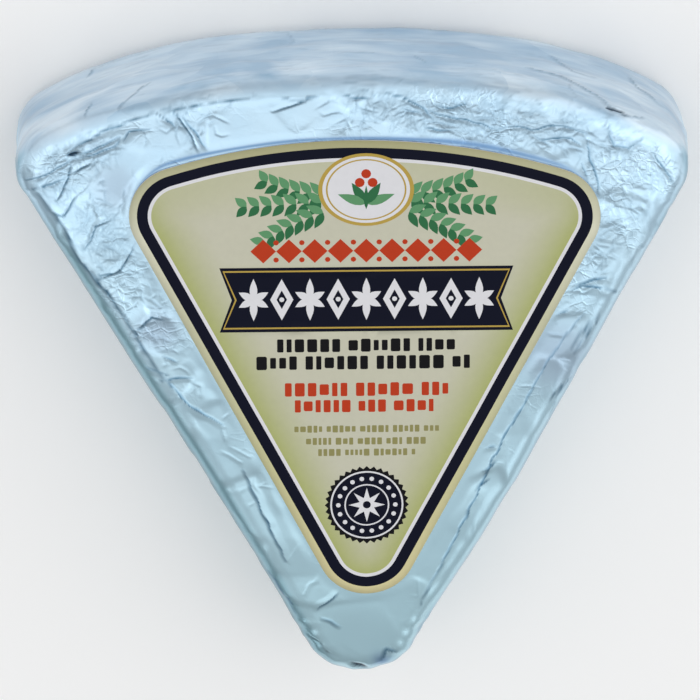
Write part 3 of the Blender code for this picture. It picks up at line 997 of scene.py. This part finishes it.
# The patches of slightly different blue and gloss, and the distance over which the painted
# shade towards the tip takes over, on each side of the model's middle
PATCH_MM = 9
TIP_SPAN = 44
# Cells per mm round the rind and up it: streaks 11 x 2 mm, clouds 20 x 11, flats 14 x 6
STREAK_SCALE = (0.09, 0.5, 1)
CLOUD_SCALE = (0.05, 0.09, 1)
FLAT_SCALE = (0.07, 0.16, 1)
STREAK_SLOPE = 0.06
FLAT_BEND = (2.5, 1.2, 0)


def fine_wrinkles(tree, place, bend, busy):
    """Height of fine wrinkles: the walls between cells, bent and broken into short lines."""
    settings = {"operation": "MULTIPLY_ADD", 0: bend, 1: (WRINKLE_BEND * MM,) * 3, 2: place}
    bent = add_node(tree, "ShaderNodeVectorMath", settings).outputs["Vector"]
    settings = {"Scale": 1 / (BREAK_MM * MM), "Detail": 4.0, "Vector": place}
    breaks = add_node(tree, "ShaderNodeTexNoise", settings).outputs["Fac"]
    settings = {"From Min": 0.46, "From Max": 0.6, "Value": breaks}
    broken = add_node(tree, "ShaderNodeMapRange", settings).outputs["Result"]
    wrinkles = 0.0
    for size in WRINKLE_MM:
        settings = {"feature": "DISTANCE_TO_EDGE", "Scale": 1 / (size * MM), "Vector": bent}
        walls = add_node(tree, "ShaderNodeTexVoronoi", settings).outputs["Distance"]
        settings = {"From Max": 0.09, "To Min": size, "To Max": 0.0, "Value": walls}
        line = add_node(tree, "ShaderNodeMapRange", settings).outputs["Result"]
        wrinkles = add_node(tree, "ShaderNodeMath", {0: line, 1: wrinkles}).outputs["Value"]
    for share in (broken, busy):
        settings = {"operation": "MULTIPLY", 0: wrinkles, 1: share}
        wrinkles = add_node(tree, "ShaderNodeMath", settings).outputs["Value"]
    return wrinkles


def rind_patterns(tree, height, around, bend):
    """The rind's streaks, soft clouds and flat patches, on the rind unrolled in mm."""
    up = add_node(tree, "ShaderNodeMath", {"operation": "DIVIDE", 0: height, 1: MM})
    settings = {"X": around, "Y": up.outputs["Value"]}
    unrolled = add_node(tree, "ShaderNodeCombineXYZ", settings).outputs["Vector"]
    settings = {"Rotation": (0, 0, STREAK_SLOPE), "Scale": STREAK_SCALE, "Vector": unrolled}
    rows = add_node(tree, "ShaderNodeMapping", settings).outputs["Vector"]
    settings = {"Scale": 1.0, "Detail": 5.0, "Distortion": 0.5, "Vector": rows}
    streaks = add_node(tree, "ShaderNodeTexNoise", settings).outputs["Fac"]
    settings = {"Scale": CLOUD_SCALE, "Vector": unrolled}
    wide_rows = add_node(tree, "ShaderNodeMapping", settings).outputs["Vector"]
    settings = {"Scale": 1.0, "Detail": 3.0, "Roughness": 0.4, "Distortion": 0.8}
    settings["Vector"] = wide_rows
    clouds = add_node(tree, "ShaderNodeTexNoise", settings).outputs["Fac"]
    settings = {"operation": "MULTIPLY_ADD", 0: bend, 1: FLAT_BEND, 2: unrolled}
    bent_rows = add_node(tree, "ShaderNodeVectorMath", settings).outputs["Vector"]
    settings = {"Scale": FLAT_SCALE, "Vector": bent_rows}
    cells = add_node(tree, "ShaderNodeMapping", settings).outputs["Vector"]
    flats = add_node(tree, "ShaderNodeTexVoronoi", {"Scale": 1.0, "Vector": cells}).outputs["Color"]
    return streaks, clouds, flats


def rind_tone(tree, streaks, clouds, flats):
    """The rind's light and dark, mostly from its clouds."""
    mixed = clouds
    for pattern, weight in ((streaks, 0.4), (flats, 0.16)):
        settings = {"operation": "MULTIPLY_ADD", 0: pattern, 1: weight, 2: mixed}
        mixed = add_node(tree, "ShaderNodeMath", settings).outputs["Value"]
    settings = {"From Min": 0.6, "From Max": 0.96, "Value": mixed}
    share = add_node(tree, "ShaderNodeMapRange", settings).outputs["Result"]
    dark, light = [linear(tone) for tone in RIND_TONES]
    settings = {"data_type": "RGBA", 0: share, 6: dark, 7: light}
    return add_node(tree, "ShaderNodeMix", settings).outputs[2]


def foil_bump(tree, wrinkles, streaks, clouds, rind):
    """The normal of the finest relief: wrinkles all over, and streaks on the rind."""
    rind_relief = streaks
    for share in (clouds, rind):
        settings = {"operation": "MULTIPLY", 0: rind_relief, 1: share}
        rind_relief = add_node(tree, "ShaderNodeMath", settings).outputs["Value"]
    relief = 0.0
    for height, weight in ((wrinkles, 0.35), (rind_relief, 3.0)):
        settings = {"operation": "MULTIPLY_ADD", 0: height, 1: weight, 2: relief}
        relief = add_node(tree, "ShaderNodeMath", settings).outputs["Value"]
    settings = {"Strength": 0.5, "Distance": 0.12 * MM, "Height": relief}
    return add_node(tree, "ShaderNodeBump", settings).outputs["Normal"]


print("wrinkles", WRINKLE_MM, "mm wide, streaks", round(1 / STREAK_SCALE[0]), "mm long")

# %% [markdown]
# ## Tone over tone
# The foil is one blue with a random mottle. Its other tones are painted shade: greyer at the
# corners and in a few duller patches, greener near the tip, darker on the cut sides and the
# left edge, a deeper blue in the groove by the label, and darker in every fold and slit. A
# painter would glaze one tone over another, and the material does the same: each tone is
# laid over the ones before it by its own mask, and the creases come last. The roughness
# varies a little with the mottle, as handled foil does.

# %% Foil material
def foil_colour(tree, mask, patches, height_on_face, on_rind):
    """Every tone laid over the ones before it by its own mask, most of them painted shade."""
    # Painted shade: towards the tip the foil turns greener and darker
    settings = {"From Min": TIP_SPAN * MM, "From Max": -TIP_SPAN * MM, "Value": height_on_face}
    shade_to_tip = add_node(tree, "ShaderNodeMapRange", settings).outputs["Result"]
    colour = linear(FOIL_MOTTLE)
    layers = (
        (patches, linear(FOIL_BLUE)),
        (shade_to_tip, linear(FOIL_SHADE_TOWARDS_TIP)),
        # Painted shade on the duller patches
        (mask["shade_patch"], linear(FOIL_IN_SHADE_PATCHES)),
        (mask["rind"], on_rind),
        # Painted shade at the left edge, on the cut sides and on the left side
        (mask["left"], linear(FOIL_SHADE_AT_LEFT_EDGE)),
        (mask["side"], linear(FOIL_SHADE_ON_SIDES)),
        (mask["shade_on_left_side"], linear(FOIL_SHADE_ON_LEFT_SIDE)),
        # Painted shade in the groove by the label, and the spot by the tip
        (mask["deep"], linear(FOIL_GROOVE_SHADE_AND_TIP_SPOT)),
        # Painted shade along the creases
        (mask["line"], linear(FOIL_CREASE_SHADE)),
        # Painted shade in the slits
        (mask["slit_shade"], linear(FOIL_SLIT_SHADE)),
    )
    for share, tone in layers:
        settings = {"data_type": "RGBA", 0: share, 6: colour, 7: tone}
        colour = add_node(tree, "ShaderNodeMix", settings).outputs[2]
    return colour


def foil_material():
    """Bright aluminium under a thin clear blue lacquer, with its finest creases as bump."""
    settings = {
        "Metallic": 0.95,
        "Coat Weight": 0.3,
        "Coat Roughness": 0.1,
        "Coat IOR": 1.5,
    }
    made, tree, shader = new_material("blue_lacquered_foil", settings)
    place = add_node(tree, "ShaderNodeTexCoord", {}).outputs["Object"]
    axes = add_node(tree, "ShaderNodeSeparateXYZ", {"Vector": place}).outputs
    mask = {
        name: add_node(tree, "ShaderNodeAttribute", {"attribute_name": name}).outputs["Fac"]
        for name in foil_masks
    }
    settings = {"Scale": 1 / (BEND_MM * MM), "Detail": 3.0, "Vector": place}
    bend = add_node(tree, "ShaderNodeTexNoise", settings).outputs["Color"]
    wrinkles = fine_wrinkles(tree, place, bend, mask["busy"])
    streaks, clouds, flats = rind_patterns(tree, axes["Z"], mask["around"], bend)
    bump = foil_bump(tree, wrinkles, streaks, clouds, mask["rind"])
    settings = {"Scale": 1 / (PATCH_MM * MM), "Detail": 4.0, "Vector": place}
    patches = add_node(tree, "ShaderNodeTexNoise", settings).outputs["Fac"]
    on_rind = rind_tone(tree, streaks, clouds, flats)
    colour = foil_colour(tree, mask, patches, axes["Y"], on_rind)
    gloss = add_node(tree, "ShaderNodeMapRange", {"To Min": 0.24, "To Max": 0.36, "Value": patches})
    tree.links.new(colour, shader.inputs["Base Color"])
    tree.links.new(gloss.outputs["Result"], shader.inputs["Roughness"])
    tree.links.new(bump, shader.inputs["Normal"])
    return made


lacquered_foil = foil_material()
print("the foil's material has", len(lacquered_foil.node_tree.nodes), "nodes")

# %% [markdown]
# ## Dress the solid in foil
# The mesh goes to Blender as plain lists of points and triangles. Its masks could be painted
# on an unwrapped picture, but one number stored for each point is simpler and as sharp as the
# mesh. The foil then takes the place of its solid in the shared frame.

# %% Make the foil
def mesh_object(name, points, faces, materials, slots=None):
    """A smooth-shaded object from points in mm of the slice's frame."""
    data = bpy.data.meshes.new(name)
    data.from_pydata((points + ORIGIN) * MM, [], np.asarray(faces).tolist())
    for finish in materials:
        data.materials.append(finish)
    if slots is not None:
        data.polygons.foreach_set("material_index", np.asarray(slots, np.int32))
    data.shade_smooth()
    data.update()
    return add_object(name, data)


def add_values(piece, name, values):
    """Stores one number for each point of a mesh, for its material to read."""
    stored = piece.data.attributes.new(name, "FLOAT", "POINT")
    stored.data.foreach_set("value", np.asarray(values, np.float32))


foil = mesh_object("creased_foil", foil_points, skin_faces, [lacquered_foil])
for mask, values in foil_masks.items():
    add_values(foil, mask, values)
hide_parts("foil_wrap")
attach(foil, "root")
print("foil:", len(foil.data.polygons), "triangles")

# %% [markdown]
# ## The sticker
# The label is a paper sticker cut to the shape of the slice, printed edge to edge: a cream
# margin, a navy band, a thin white line, and a pale field with a green glow along its edges.
# The print could be a picture mapped on a flat sheet. Here each printed shape is its own
# area of one thin sheet instead, so every edge stays sharp at any distance. The print is a
# design of its own: bands, leaves, stars, dots and plain bars, with no words.

# %% Helpers that draw printed shapes
LABEL_BOTTOM = THICKNESS + LABEL_LIFT + 0.03
LABEL_SHEET = 0.22
CREAM, NAVY, WHITE, FIELD, BLACK, RED, KHAKI, GOLD, LEAF, DARK_LEAF = range(10)


def ring_of(centre, radius, count, stretch=1.0):
    """A closed polygon round a centre."""
    angles = np.arange(count) * 2 * math.pi / count
    return np.column_stack((np.cos(angles), stretch * np.sin(angles))) * radius + centre


def bar(middle, wide, high):
    """A plain upright bar, its corners a little cut."""
    x, y, cut = wide / 2, high / 2, min(wide, high) * 0.12
    corners = [(-x + cut, -y), (x - cut, -y), (x, -y + cut), (x, y - cut)]
    corners += [(x - cut, y), (-x + cut, y), (-x, y - cut), (-x, -y + cut)]
    return np.array(corners) + middle


def star(centre, outer, inner, points, turn=0.0):
    """A star with this number of points."""
    angles = turn + math.pi / 2 + np.arange(2 * points) * math.pi / points
    reach = np.where(np.arange(2 * points) % 2, inner, outer)
    return np.column_stack((np.cos(angles), np.sin(angles))) * reach[:, None] + centre


def leaf(base, direction, length, width):
    """A pointed leaf that grows from its base."""
    shares = np.linspace(0, 1, 7)
    swell = width / 2 * np.sin(math.pi * shares**0.8)
    along = np.array((math.cos(direction), math.sin(direction)))
    across = np.array((-along[1], along[0]))
    line = base + length * shares[:, None] * along
    upper = line + swell[:, None] * across
    lower = line - swell[:, None] * across
    return np.vstack((lower, upper[-2:0:-1]))


print("a leaf has", len(leaf(np.zeros(2), 0.5, 3.0, 1.0)), "corners")

# %% [markdown]
# ## The print
# The shapes are listed in the order a printer would lay the inks down: the borders first,
# then the sprays of leaves, the medallion over them, the banner, the rows of bars and the
# round seal near the point. A later shape covers an earlier one wherever the two overlap.

# %% Lay out the print
def border_shapes():
    """The navy band, the white line and the pale field, each inside the one before."""
    outline, out = label_outline(1.0)
    return [(outline - inset * out, ink) for inset, ink in ((1.35, NAVY), (3.2, WHITE), (3.8, FIELD))]


# Each stem of a spray: its slope, its length in mm and its pairs of leaves
STEMS = ((0.0, 12.8, 6), (-0.06, 16.0, 7), (-0.28, 15.0, 7))


def spray_shapes(side):
    """A spray of two-tone leaves that rises from behind the medallion towards one side."""
    shapes = []
    for stem, (turn, reach, count) in enumerate(STEMS):
        base = np.array((4.5, 83.5 + 1.2 * (1 - stem)))
        for place in range(count):
            share = (place + 1.5) / (count + 0.5)
            bend = turn + 0.25 * share * (1 - stem)
            at = base + reach * share * np.array((math.cos(bend), math.sin(bend) * 0.8))
            for lean, ink in ((0.75, LEAF), (-0.75, DARK_LEAF)):
                blade = leaf(at, bend + lean, 3.4 - 0.8 * share, 1.5)
                shapes.append((blade * (side, 1), ink))
    return shapes


def medallion_shapes():
    """A gold rim round a white oval with a sprig of leaves and berries."""
    middle = np.array((0.0, 85.7))
    rim = 6.65 / 8.2
    shapes = [(ring_of(middle, 8.2, 56, rim), GOLD), (ring_of(middle, 7.5, 56, rim), WHITE)]
    shapes.append((ring_of(middle, 6.9, 56, rim), GOLD))
    shapes.append((ring_of(middle, 6.6, 56, rim), WHITE))
    for turn in (0.35, 1.0, math.pi - 1.0, math.pi - 0.35):
        blade = leaf(middle + (0, -2.6), turn, 5.6 - 1.2 * math.sin(turn), 1.7)
        shapes.append((blade, LEAF if turn < 1 or turn > math.pi - 1 else DARK_LEAF))
    for x, y in ((-1.1, 1.3), (1.1, 1.3), (0, 2.9)):
        shapes.append((ring_of(middle + (x, y), 0.85, 12), RED))
    shapes.append((leaf(middle + (0, -3.6), math.pi / 2, 4.4, 0.8), DARK_LEAF))
    return shapes


def lozenge_row(middle, half_width, high, ink):
    """Lozenges with dots between them."""
    shapes = []
    count = round(2 * half_width / high)
    for place in range(count):
        x = (place + 0.5) * 2 * half_width / count - half_width
        shapes.append((ring_of((x, middle), high / 2, 4), ink))
        if place:
            between = x - half_width / count
            for lift in (-0.36, 0.36):
                shapes.append((ring_of((between, middle + lift * high), 0.11 * high, 8), ink))
    return shapes


def banner_shapes():
    """A navy banner with notched ends, a thin gold line and a white leaf frieze."""
    low, high, half, notch = 59.6, 71.5, 25.25, 2.1
    middle = (low + high) / 2

    def outline(inset):
        x, y = half - inset, (high - low) / 2 - inset
        places = [(-x, -y), (x, -y), (x - notch, 0), (x, y), (-x, y), (-x + notch, 0)]
        return np.array(places) + (0, middle)

    shapes = [(outline(0.0), NAVY), (outline(0.55), GOLD), (outline(0.85), NAVY)]
    count = 9
    for place in range(count):
        x = (place - (count - 1) / 2) * 4.85
        if place % 2:
            shapes.append((ring_of((x, middle), 2.0, 4, 1.9), WHITE))
            shapes.append((ring_of((x, middle), 0.9, 4, 1.9), NAVY))
            shapes.append((ring_of((x, middle), 0.45, 8), WHITE))
        else:
            for turn in (0.5, math.pi - 0.5, -0.5, math.pi + 0.5, math.pi / 2, -math.pi / 2):
                long = 3.9 if abs(math.sin(turn)) > 0.9 else 2.9
                shapes.append((leaf(np.array((x, middle)), turn, long, 1.35), WHITE))
    return shapes


def bar_row(middle, half_width, high, ink, seed):
    """A row of plain bars of several widths, in groups."""
    draw = np.random.default_rng(seed)
    shapes = []
    at = -half_width
    left_in_group = draw.integers(3, 7)
    while at < half_width - 0.4 * high:
        wide = min(high * draw.uniform(0.35, 0.75), half_width - at)
        tall = high * draw.choice((1.0, 1.0, 0.8))
        shapes.append((bar(np.array((at + wide / 2, middle)), wide, tall), ink))
        left_in_group -= 1
        at += wide + high * (0.22 if left_in_group else 0.6)
        if not left_in_group:
            left_in_group = draw.integers(3, 7)
    return shapes


def seal_shapes():
    """A round navy seal with a scalloped edge, a white ring and an eight-pointed star."""
    middle = np.array((0.0, 27.1))
    shapes = [(star(middle, 7.3, 6.75, 36), BLACK), (ring_of(middle, 6.35, 56), WHITE)]
    shapes.append((ring_of(middle, 6.05, 56), NAVY))
    for place in range(18):
        turn = 2 * math.pi * place / 18
        at = middle + 4.95 * np.array((math.cos(turn), math.sin(turn)))
        shapes.append((ring_of(at, 0.42, 8), WHITE))
    shapes.append((ring_of(middle, 3.9, 40), WHITE))
    shapes.append((ring_of(middle, 3.65, 40), NAVY))
    shapes.append((star(middle, 3.2, 1.35, 8), WHITE))
    shapes.append((ring_of(middle, 0.7, 12), NAVY))
    return shapes


def all_shapes():
    """Every printed shape in the order in which the inks are laid down."""
    shapes = border_shapes() + spray_shapes(-1) + spray_shapes(1) + medallion_shapes()
    shapes += lozenge_row(74.5, 19.9, 4.4, RED) + banner_shapes()
    rows = (
        (57.0, 15.4, 2.4, BLACK),
        (53.8, 19.0, 2.5, BLACK),
        (48.8, 14.1, 2.5, RED),
        (45.7, 12.4, 2.3, RED),
        (41.4, 12.5, 1.3, KHAKI),
        (39.1, 10.5, 1.3, KHAKI),
        (37.0, 8.4, 1.3, KHAKI),
    )
    for seed, (middle, half_width, high, ink) in enumerate(rows):
        shapes += bar_row(middle, half_width, high, ink, seed)
    return shapes + seal_shapes()


printed = all_shapes()
print(len(printed), "printed shapes")

# %% [markdown]
# ## From shapes to one sheet
# All the shapes' edges go into one triangulation, so that a triangle never crosses an edge
# between two inks. Each triangle then takes the ink of the last shape its middle lies in.
# The sheet is closed: a printed top, a plain underside and a cut edge 0.2 mm thick.

# %% Build the label
GLOW_REACH = 8.0
SHEET_STEP = 1.25


def is_inside(places, polygon):
    """Whether each place is inside a polygon."""
    found = np.zeros(len(places), bool)
    near = np.all((places > polygon.min(axis=0)) & (places < polygon.max(axis=0)), axis=1)
    x, y = places[near].T
    crossed = np.zeros(len(x), bool)
    for (x0, y0), (x1, y1) in zip(polygon, np.roll(polygon, -1, axis=0)):
        if y0 != y1:
            crossed ^= ((y0 > y) != (y1 > y)) & (x < (x1 - x0) * (y - y0) / (y1 - y0) + x0)
    found[near] = crossed
    return found


def build_sheet():
    """Points, triangles, inks and the glow of the label, in mm of the slice's frame."""
    outline, out = label_outline(1.0)
    rims = [outline] + [polygon for polygon, _ in printed]
    inner = lattice(SHEET_STEP)
    inner = inner[inside_distance(inner, outline, out) > 4.4]
    places, edges = [], []
    for polygon in rims:
        first = len(places)
        places += [Vector(place) for place in polygon]
        edges += [(first + i, first + (i + 1) % len(polygon)) for i in range(len(polygon))]
    places += [Vector(place) for place in inner]
    flat, _, triangles, *_ = delaunay_2d_cdt(places, edges, [], 1, 1e-5)
    flat = np.array([place[:] for place in flat])
    triangles = np.array(triangles)
    middles = flat[triangles].mean(axis=1)
    inks = np.full(len(triangles), CREAM)
    for polygon, ink in printed:
        inks[is_inside(middles, polygon)] = ink
    depth = inside_distance(flat, outline, out)
    side = np.abs(flat[:, 0]) / np.maximum(flat[:, 1], 1)
    weak_at_top = 1 - 0.75 * rise(flat[:, 1], 76, 90) * (1 - 0.6 * rise(side, 0.4, 0.5))
    glow = np.clip(1 - (depth - 3.8) / GLOW_REACH, 0, 1) ** 1.4 * weak_at_top
    wave = 0.05 * facets(np.column_stack((flat, np.zeros(len(flat)))), 14.0, 3.0, 9)
    on_slice = from_label(flat)
    wave = np.clip(wave, -0.1, 0.1)
    bottom = np.column_stack((on_slice, np.full(len(flat), LABEL_BOTTOM)))
    top = np.column_stack((on_slice, LABEL_BOTTOM + LABEL_SHEET + wave))
    count = len(flat)
    rim_edges = np.concatenate([triangles[:, [0, 1]], triangles[:, [1, 2]], triangles[:, [2, 0]]])
    keys = np.sort(rim_edges, axis=1)
    _, first, times = np.unique(keys, axis=0, return_index=True, return_counts=True)
    start, end = rim_edges[first[times == 1]].T
    wall = np.vstack((
        np.column_stack((start + count, end + count, end)),
        np.column_stack((start + count, end, start)),
    ))
    faces = np.vstack((triangles, triangles[:, ::-1] + count, wall))
    slots = np.concatenate((inks, np.full(len(triangles) + len(wall), WHITE)))
    return np.vstack((top, bottom)), faces, slots, np.concatenate((glow, glow))


sheet_points, sheet_faces, sheet_slots, sheet_glow = build_sheet()
print(len(sheet_faces), "triangles in the label")

# %% [markdown]
# ## Printed paper
# The sticker is white coated paper, offset printed and varnished, so each ink has the same
# satin gloss and differs in its colour. Paper is never quite even: a fine mottle in the
# tone and a slight tooth in the surface keep the inks from looking like plastic.

# %% Ink materials
INKS = (
    ("cream_ink", "#C9C9B2"),
    ("navy_ink", "#04081E"),
    ("bare_white_paper", "#DCDCE0"),
    ("pale_field_ink", "#C4C3B0"),
    ("black_ink", "#0C0C10"),
    ("red_ink", "#B83A1C"),
    ("khaki_ink", "#8E8A5A"),
    ("gold_ink", "#B59A4A"),
    ("leaf_green_ink", "#5E9469"),
    ("dark_green_ink", "#2F6B45"),
)
GLOW_GREEN = "#A9AF70"
# The margin's cream yellows towards the point and dulls at the top: share of the way, tone
CREAM_TONES = (
    (0.0, "#D3CA9C"),
    (0.3, "#C6C498"),
    (0.6, "#C6C6A8"),
    (0.8, "#D8D8C2"),
    (0.9, "#BBBB9C"),
    (1.0, "#A9A67E"),
)
LABEL_SPAN = (28.0, 112.0)
# Size of the mottle and of the tooth; real paper's tooth is near 0.1 mm, too fine to show
MOTTLE_MM = 1.2
TOOTH_MM = 0.35


def field_tone(tree):
    """The pale field's ink, turned greener by the glow that each point stores."""
    glow = add_node(tree, "ShaderNodeAttribute", {"attribute_name": "glow"}).outputs["Fac"]
    settings = {"data_type": "RGBA", 0: glow, 6: linear(INKS[FIELD][1]), 7: linear(GLOW_GREEN)}
    return add_node(tree, "ShaderNodeMix", settings).outputs[2]


def margin_tone(tree, place):
    """The margin's cream, which changes from the label's point to its top."""
    along = add_node(tree, "ShaderNodeSeparateXYZ", {"Vector": place}).outputs["Y"]
    low, high = [(y + ORIGIN[1]) * MM for y in LABEL_SPAN]
    settings = {"From Min": low, "From Max": high, "Value": along}
    share = add_node(tree, "ShaderNodeMapRange", settings).outputs["Result"]
    ramp = add_node(tree, "ShaderNodeValToRGB", {"Fac": share})
    stops = ramp.color_ramp.elements
    while len(stops) < len(CREAM_TONES):
        stops.new(0.5)
    for stop, (at, tone) in zip(stops, CREAM_TONES):
        stop.position = at
        stop.color = linear(tone)
    return ramp.outputs["Color"]


def ink_material(index):
    """One offset ink on coated paper, with a fine mottle and the paper's tooth."""
    name, colour = INKS[index]
    settings = {"Roughness": 0.5, "IOR": 1.5, "Specular IOR Level": 0.12}
    made, tree, shader = new_material(name, settings)
    place = add_node(tree, "ShaderNodeTexCoord", {}).outputs["Object"]
    base = linear(colour)[:3]
    if index == FIELD:
        base = field_tone(tree)
    elif index == CREAM:
        base = margin_tone(tree, place)
    settings = {"Scale": 1 / (MOTTLE_MM * MM), "Detail": 3.0, "Vector": place}
    mottle = add_node(tree, "ShaderNodeTexNoise", settings).outputs["Fac"]
    settings = {"To Min": 0.96, "To Max": 1.04, "Value": mottle}
    tone = add_node(tree, "ShaderNodeMapRange", settings).outputs["Result"]
    settings = {"operation": "SCALE", "Vector": base, "Scale": tone}
    varied = add_node(tree, "ShaderNodeVectorMath", settings).outputs["Vector"]
    settings = {"Scale": 1 / (TOOTH_MM * MM), "Detail": 2.0, "Vector": place}
    tooth = add_node(tree, "ShaderNodeTexNoise", settings).outputs["Fac"]
    settings = {"Strength": 0.15, "Distance": 0.02 * MM, "Height": tooth}
    bump = add_node(tree, "ShaderNodeBump", settings).outputs["Normal"]
    tree.links.new(varied, shader.inputs["Base Color"])
    tree.links.new(bump, shader.inputs["Normal"])
    return made


inks = [ink_material(index) for index in range(len(INKS))]
label = mesh_object("printed_label", sheet_points, sheet_faces, inks, sheet_slots)
add_values(label, "glow", sheet_glow)
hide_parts("label")
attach(label, "root")
print("label:", len(label.data.polygons), "triangles,", len(inks), "inks")
